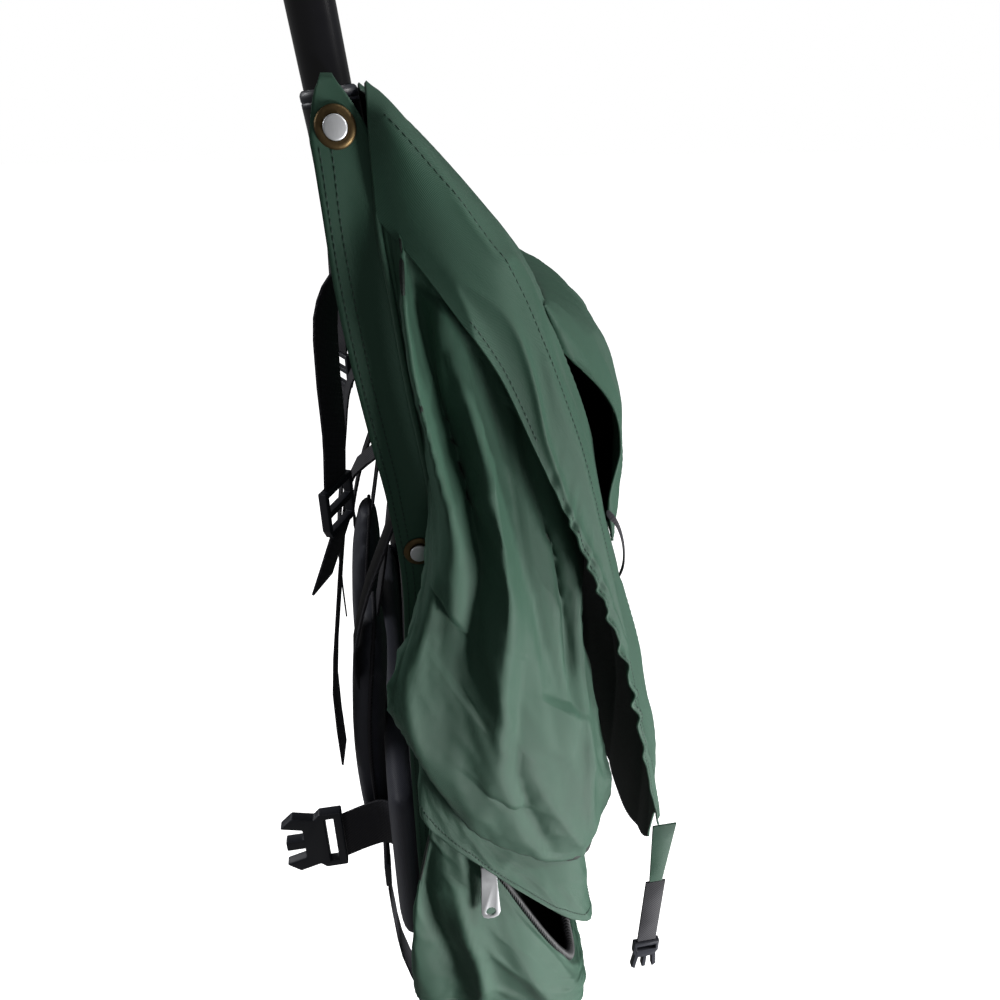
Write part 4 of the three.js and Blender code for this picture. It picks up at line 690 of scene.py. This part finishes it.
# Lower bag: a shorter bag of the same cloth under the flap. It is unzipped round its front, so that its front
# panel hangs open, and its floor is sewn shut.
LOWER_ROWS = [
    (0, 0.16, 0.03, 0.45, 0.3, 0.1, 0.8, 0.87, 0.87), (0.3, 0.66, -0.12, 0.8, 0.28, 0.36, 0.84, 0.92, 0.92),
    (0.65, 0.72, -0.17, 0.9, 0.27, 0.4, 0.83, 0.93, 0.93), (1, 0.3, -0.06, 0.45, 0.27, 0.05, 0.76, 0.84, 0.84),
    (1.04, 0, 0.16, 0.05, 0.34, -0.3, 0.66, 0.72, 0.72),
]
LOWER_EDGES = {"back": (0.616, 0.98), "corner": (0.61, 0.98), "piping": (0.6, 0.97), "belly": (0.6, 0.97),
               "side": (0.7, 0.985), "seam": (0.92, 0.99), "front": (0.955, 0.995), "mid": (0.955, 1)}
LOWER_FOLDS = [(3.2, 0.1, 3.6, 0.7, -0.7, 0.2), (4.3, 0.05, 4.7, 0.8, 0.5, 0.25), (3.6, 0.15, 4.0, 0.9, 0.45, 0.1),
               (2.7, 0.05, 3.0, 0.8, -0.4, 0.1)]
lower_surface = bag_surface(LOWER_ROWS, LOWER_EDGES, LOWER_FOLDS)
shares = np.arange(300) / 300
rows = np.linspace(0, 1.04, 110)
lower_grid = np.array([lower_surface(shares, row) for row in rows])
lower_grid = creased(lower_grid, shares, rows, 2.8, 9.0)
middle = lower_grid[-1].mean(axis=0)
closing = [lower_grid[-1] + (middle - lower_grid[-1]) * t for t in (0.3, 0.6, 0.9)]
cloth_mesh("lower_bag", np.concatenate([lower_grid, closing]), green, ["bag_lower"], loop=True, hub=True)

# Zip: a black nylon coil wound round a core and sewn to a woven tape, which runs inside the lower bag's open
# edge. A zinc slider with its pull stands at each end.
zip_nylon = blotched("zip_nylon", (0.006, 0.006, 0.008), (0.012, 0.012, 0.015), 0.5, 0.1, 300)
webbing_black = woven("nylon_webbing", (0.013, 0.013, 0.018), (0.024, 0.023, 0.031), 0.6, 210, 0.05,
                      False, bump=0.7)
COIL_PITCH, COIL_UP, COIL_ACROSS, COIL_WIRE_R = 3.4, 3.6, 3.2, 1.0
zip_place = 3.9 + (LOOP - 7.8) * np.linspace(0, 1, 160)
rim = lower_surface(zip_place / LOOP, 0.0)
below = lower_surface(zip_place / LOOP, 0.03)
upward = (rim - below) / np.linalg.norm(rim - below, axis=1, keepdims=True)
coil_line = rim + upward * (COIL_UP - 0.1)
reach = np.concatenate([[0], np.cumsum(np.linalg.norm(np.diff(coil_line, axis=0), axis=1))])
tangent = np.gradient(coil_line, axis=0)
tangent /= np.linalg.norm(tangent, axis=1, keepdims=True)
side_way = np.cross(tangent, upward)
turns = np.linspace(0, reach[-1], int(reach[-1] / COIL_PITCH) * 14)
spin = (2 * math.pi * turns / COIL_PITCH)[:, None]


def along_zip(values):
    """Values given along the rim, at each of the coil's points"""
    return np.column_stack([np.interp(turns, reach, values[:, k]) for k in range(3)])


helix = (along_zip(coil_line) + along_zip(upward) * COIL_UP * np.cos(spin)
         + along_zip(side_way) * COIL_ACROSS * np.sin(spin))
tube("zip_teeth", helix, COIL_WIRE_R, 6, zip_nylon, ["zip_coil"])
tube("zip_core", coil_line, 1.6, 8, zip_nylon)
inward = -np.column_stack([rim[:, 0], rim[:, 1] - rail_y(rim[:, 2]) + 0.4 * BAG_DEPTH, np.zeros(len(rim))])
inward /= np.linalg.norm(inward, axis=1, keepdims=True)
tape = np.array([rim + inward * 3.1 + upward * lift for lift in np.linspace(1.2, -12.3, 8)])
cloth_mesh("zip_tape_cloth", tape, webbing_black, ["zip_tape"], wall=0.7)


def from_cad(name, node, material, bevel=0.0, smooth=0, segments=2):
    """A finished copy of a CAD piece: its triangles joined to quads, edges rounded and surface smoothed"""
    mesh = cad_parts[node].data.copy()
    shell = bmesh.new()
    shell.from_mesh(mesh)
    bmesh.ops.remove_doubles(shell, verts=shell.verts, dist=2e-5)
    bmesh.ops.join_triangles(shell, faces=shell.faces, angle_face_threshold=0.35, angle_shape_threshold=0.9)
    bmesh.ops.recalc_face_normals(shell, faces=shell.faces)
    shell.to_mesh(mesh)
    shell.free()
    while mesh.uv_layers:
        mesh.uv_layers.remove(mesh.uv_layers[0])
    piece = finished(name, mesh, material, [node])
    if smooth:
        surface = piece.modifiers.new("smooth", "SUBSURF")
        surface.levels = surface.render_levels = smooth
    if bevel:
        edge = piece.modifiers.new("edges", "BEVEL")
        edge.width, edge.segments, edge.limit_method = bevel * MM, segments, "ANGLE"
        edge.angle_limit = math.radians(28)
        edge.harden_normals = True
    return piece


for side in ("left", "right"):
    from_cad(f"zip_slider_{side}", f"zip_pull_{side}", zinc, bevel=0.5)

# Lid: a large shaped panel with a boxed band down each side, elasticated along its lower half. A seam with
# double stitching joins band and panel, and a map pocket is sewn on the panel's upper half.
LID_LENGTH, LID_REACH, LID_CROWN, LID_TIP = 485.0, 185.0, 36.0, 150.0
LID_TABLE = [
    (0, 0.06, 0.005, 0.062, 0.1, 0.06, 0.1, 0.02), (0.1, 0.14, 0.035, 0.15, 0.14, 0.2, 0.28, 0.02),
    (0.2, 0.31, 0.115, 0.235, 0.185, 0.35, 0.4, 0.04), (0.3, 0.41, 0.17, 0.34, 0.245, 0.45, 0.42, 0.05),
    (0.4, 0.49, 0.25, 0.43, 0.32, 0.6, 0.42, 0.06), (0.5, 0.575, 0.34, 0.515, 0.395, 0.7, 0.4, 0.07),
    (0.6, 0.65, 0.44, 0.6, 0.475, 0.8, 0.36, 0.08), (0.7, 0.73, 0.545, 0.69, 0.56, 0.85, 0.28, 0.1),
    (0.8, 0.84, 0.685, 0.8, 0.69, 1.05, 0.16, 0.12), (0.9, 0.94, 0.835, 0.9, 0.835, 1.2, 0.08, 0.14),
    (1, 1.04, 1.02, 1, 0.985, 0.75, 0.04, 0.15),
]
lid_curves = [smooth_through([row[0] for row in LID_TABLE], [row[k] for row in LID_TABLE]) for k in range(1, 8)]
LID_TOP_Y = -LEAN - 0.3 - 3.6


def lid_surface(u, v):
    """The lid's face for an array of shares across it and one share down it"""
    crease_fwd, crease_down, band_fwd, band_down, crown, out, inset = (float(c(v)) for c in lid_curves)
    band_x = BAG_SIDE_X + out * BAG_BULGE
    crease_x = band_x - inset * RAIL_X
    crease_y, crease_z = LID_TOP_Y - crease_fwd * LID_REACH, RAIL_TOP - crease_down * LID_LENGTH
    tip = LID_TIP * v ** 4
    half = [
        (band_x, LID_TOP_Y - band_fwd * LID_REACH, RAIL_TOP - band_down * LID_LENGTH), (crease_x, crease_y, crease_z),
        (0.62 * crease_x, crease_y - 0.75 * crown * LID_CROWN, crease_z - 0.7 * tip),
        (0, crease_y - crown * LID_CROWN, crease_z - tip),
    ]
    section = half + [(-x, y, z) for x, y, z in reversed(half[:-1])]
    return through_points(section, u, False)


# Shares across the lid are packed closer at its bands, where the ruffles are
spread = np.linspace(-1, 1, 176)
lid_u = 0.5 + 0.5 * np.sign(spread) * (1 - (1 - np.abs(spread)) ** 1.15)
lid_v = np.linspace(0, 1, 250)
lid_grid = np.array([lid_surface(lid_u, v) for v in lid_v])
lift = np.zeros(lid_grid.shape[:2])
BAND_SHARE, GATHER_FROM, RUFFLES, FINE_RUFFLES, LID_CREASE = 0.13, 0.42, 24, 41, 3.4
for j, v in enumerate(lid_v):
    edge = np.clip(1 - np.minimum(lid_u, 1 - lid_u) / BAND_SHARE, 0, 1)
    gathered = float(np.clip((v - GATHER_FROM) / 0.12, 0, 1))
    wave = math.sin(2 * math.pi * RUFFLES * v + 1.3 * math.sin(23 * v)) + 0.4 * math.sin(2 * math.pi * FINE_RUFFLES * v)
    lift[j] = edge ** 1.5 * gathered * wave * (1.25 + 1.5 * noise.noise(Vector((0.5, 9 * v, 2.0))))
    for i, share in enumerate(lid_u):
        p = Vector((share * 5.5, v * 2.6, 3.0))
        folded = 1 - abs(noise.noise(p * 1.7 + Vector((0, noise.noise(p), 0))))
        lift[j, i] += LID_CREASE * (folded ** 4 - 0.4) * min(1, 6 * v)
lid_grid = lid_grid + normals_of(lid_grid) * lift[..., None]
cloth_mesh("lid_cloth", lid_grid, green, ["lid"], faces_front=True)
lid_out = normals_of(lid_grid)
lid_out *= np.where(lid_out[..., 1:2] > 0, -1, 1)


def lid_column(share, lift, start=0.04, end=0.985):
    """A line down the lid at one share across it, lifted off its face"""
    i = int(np.argmin(np.abs(lid_u - share)))
    part = slice(int(start * (len(lid_v) - 1)), int(end * (len(lid_v) - 1)))
    return lid_grid[part, i] + lid_out[part, i] * lift


seam_lines = [lid_column(share, 0.75) for share in (0.155, 0.845, 0.018, 0.982)]
repeated("lid_stitching", seam_lines, 3.6, stitch, thread_green)

POCKET_FROM, POCKET_TO, POCKET_SIDE, POCKET_RISE = 0.35, 0.66, 0.3, 34.0


def pocket_surface(u, v):
    """The pocket's face, which stands off the lid and gapes along one side"""
    def on_lid(a, b):
        across = POCKET_SIDE + (1 - 2 * POCKET_SIDE) * np.asarray(a)
        return lid_surface(across, POCKET_FROM + (POCKET_TO - POCKET_FROM) * b)

    step = 0.01
    normal = np.cross(on_lid(u + step, v) - on_lid(u - step, v), on_lid(u, v + step) - on_lid(u, v - step))
    normal /= np.linalg.norm(normal, axis=1, keepdims=True)
    normal *= np.where(normal[:, 1:2] > 0, -1, 1)
    over = np.sin(math.pi * np.clip(u, 0, 1)) ** 0.5
    along = math.sin(math.pi * min(max(v, 0), 1) ** 0.85) ** 0.75
    rim_share = min(max((v - 0.2) / 0.68, 0), 1)
    lifted = 0.55 * math.sin(math.pi * rim_share) * np.maximum(0, 2 * u - 1)
    return on_lid(u, v) + normal * (CLOTH + 0.3 + POCKET_RISE * along * np.maximum(over, lifted))[:, None]


shares, rows = np.linspace(0, 1, 110), np.linspace(0, 1, 110)
grid = np.array([pocket_surface(shares, row) for row in rows])
grid = creased(grid, shares * 0.22, rows * 0.6, 2.2, 14.0, loop=False)
cloth_mesh("map_pocket", grid, green, ["lid_pocket"], faces_front=True)
from_cad("lid_webbing_loop", "lid_loop", webbing_black, smooth=2)

# Lid straps: a tongue of green cloth at each lower corner of the lid holds black nylon webbing, which ends in
# the moulded male half of a buckle.
for side in ("left", "right"):
    from_cad(f"tongue_{side}", f"lid_tongue_{side}", green_plain, bevel=0.3)
    from_cad(f"tip_strap_{side}", f"lid_strap_{side}", webbing_black, bevel=0.35)
    from_cad(f"tip_buckle_{side}", f"lid_buckle_{side}", moulded, bevel=0.7, segments=3)

# Harness: black nylon webbing over the cross bars, padded shoulder straps with piped edges, ladder-locks and
# loose tails.
padding = woven("padding_cloth", (0.028, 0.03, 0.044), (0.048, 0.051, 0.07), 0.46, 420, 0.15, False,
                bump=0.4)
WEBBINGS = ("lifter_strap", "lifter_tail", "free_tail", "pad_top_strap", "pad_tail", "pad_sheath", "lower_strap")
for side in ("left", "right"):
    for node in WEBBINGS:
        from_cad(f"{node}_webbing_{side}", f"{node}_{side}", webbing_black, bevel=0.35)
    for node in ("lifter_lock", "pad_lock"):
        from_cad(f"{node}_moulded_{side}", f"{node}_{side}", moulded, bevel=0.7, segments=3)


SWELL_CAP, FULLER = 2.0, 3.0


def stuffed(name, node, material, voxel=5.0):
    """A padded piece: the CAD solid remeshed, made a little fuller, blown up as cloth with a cap on how far a
    point may travel, and smoothed"""
    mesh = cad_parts[node].data.copy()
    shell = bmesh.new()
    shell.from_mesh(mesh)
    bmesh.ops.remove_doubles(shell, verts=shell.verts, dist=2e-5)
    shell.to_mesh(mesh)
    shell.free()
    while mesh.uv_layers:
        mesh.uv_layers.remove(mesh.uv_layers[0])
    piece = finished(name, mesh, material, [node])
    bpy.context.view_layer.objects.active = piece
    remesh = piece.modifiers.new("remesh", "REMESH")
    remesh.mode, remesh.voxel_size = "VOXEL", voxel * MM
    with bpy.context.temp_override(object=piece, active_object=piece):
        bpy.ops.object.modifier_apply(modifier="remesh")
    start = np.array([(v.co + v.normal * FULLER * MM)[:] for v in piece.data.vertices])
    piece.data.vertices.foreach_set("co", start.ravel())
    swell = piece.modifiers.new("swell", "CLOTH")
    swell.settings.use_pressure = True
    swell.settings.uniform_pressure_force = 4
    swell.settings.effector_weights.gravity = 0
    swell.settings.tension_stiffness = swell.settings.compression_stiffness = 12
    for step in range(1, 13):
        bpy.context.scene.frame_set(step)
    moved = piece.evaluated_get(bpy.context.evaluated_depsgraph_get()).data
    after = np.array([v.co[:] for v in moved.vertices])
    piece.modifiers.remove(swell)
    bpy.context.scene.frame_set(1)
    travel = after - start
    length = np.maximum(np.linalg.norm(travel, axis=1, keepdims=True), 1e-9)
    placed = start + travel * np.minimum(1, SWELL_CAP * MM / length)
    piece.data.vertices.foreach_set("co", placed.ravel())
    surface = piece.modifiers.new("smooth", "SUBSURF")
    surface.levels = surface.render_levels = 1
    piece.data.shade_smooth()
    return piece


PAD_X, PAD_TOP, PAD_LONG, PAD_WIDE = 75.0, RAIL_TOP - 0.435 * FRAME_HEIGHT, 0.318 * FRAME_HEIGHT, 58.0
PAD_Y, PIPING_R = -LEAN - BOW, 1.6
for side, sign in (("left", -1), ("right", 1)):
    stuffed(f"shoulder_padding_{side}", f"shoulder_pad_{side}", padding)
    down = np.linspace(0, 1, 60)
    taper = np.minimum(np.minimum(1, 0.55 + 3 * down), 0.45 + 3 * (1 - down)) * PAD_WIDE / 2
    y = PAD_Y + BAG_DEPTH * (0.24 + 0.07 * np.sin(math.pi * down) + 0.05 * down)
    z = PAD_TOP - down * PAD_LONG
    edge = np.column_stack([sign * PAD_X + taper, y, z])
    other = np.column_stack([sign * PAD_X - taper, y, z])
    tube(f"pad_piping_{side}", np.concatenate([edge, other[::-1], edge[:1]]), PIPING_R, 10, webbing_black)

# Hip belt: a padded band of the same cloth across the backs of the rails, with black webbing sewn to its ends
# and a moulded side-release buckle.
stuffed("lumbar_padding", "lumbar_band", padding, voxel=6.0)
for side in ("left", "right"):
    from_cad(f"hip_strap_{side}", f"hip_webbing_{side}", webbing_black, bevel=0.35)
    from_cad(f"hip_buckle_body_{side}", f"hip_buckle_{side}", moulded, bevel=1.2, segments=3)

bpy.data.objects.remove(stitch)
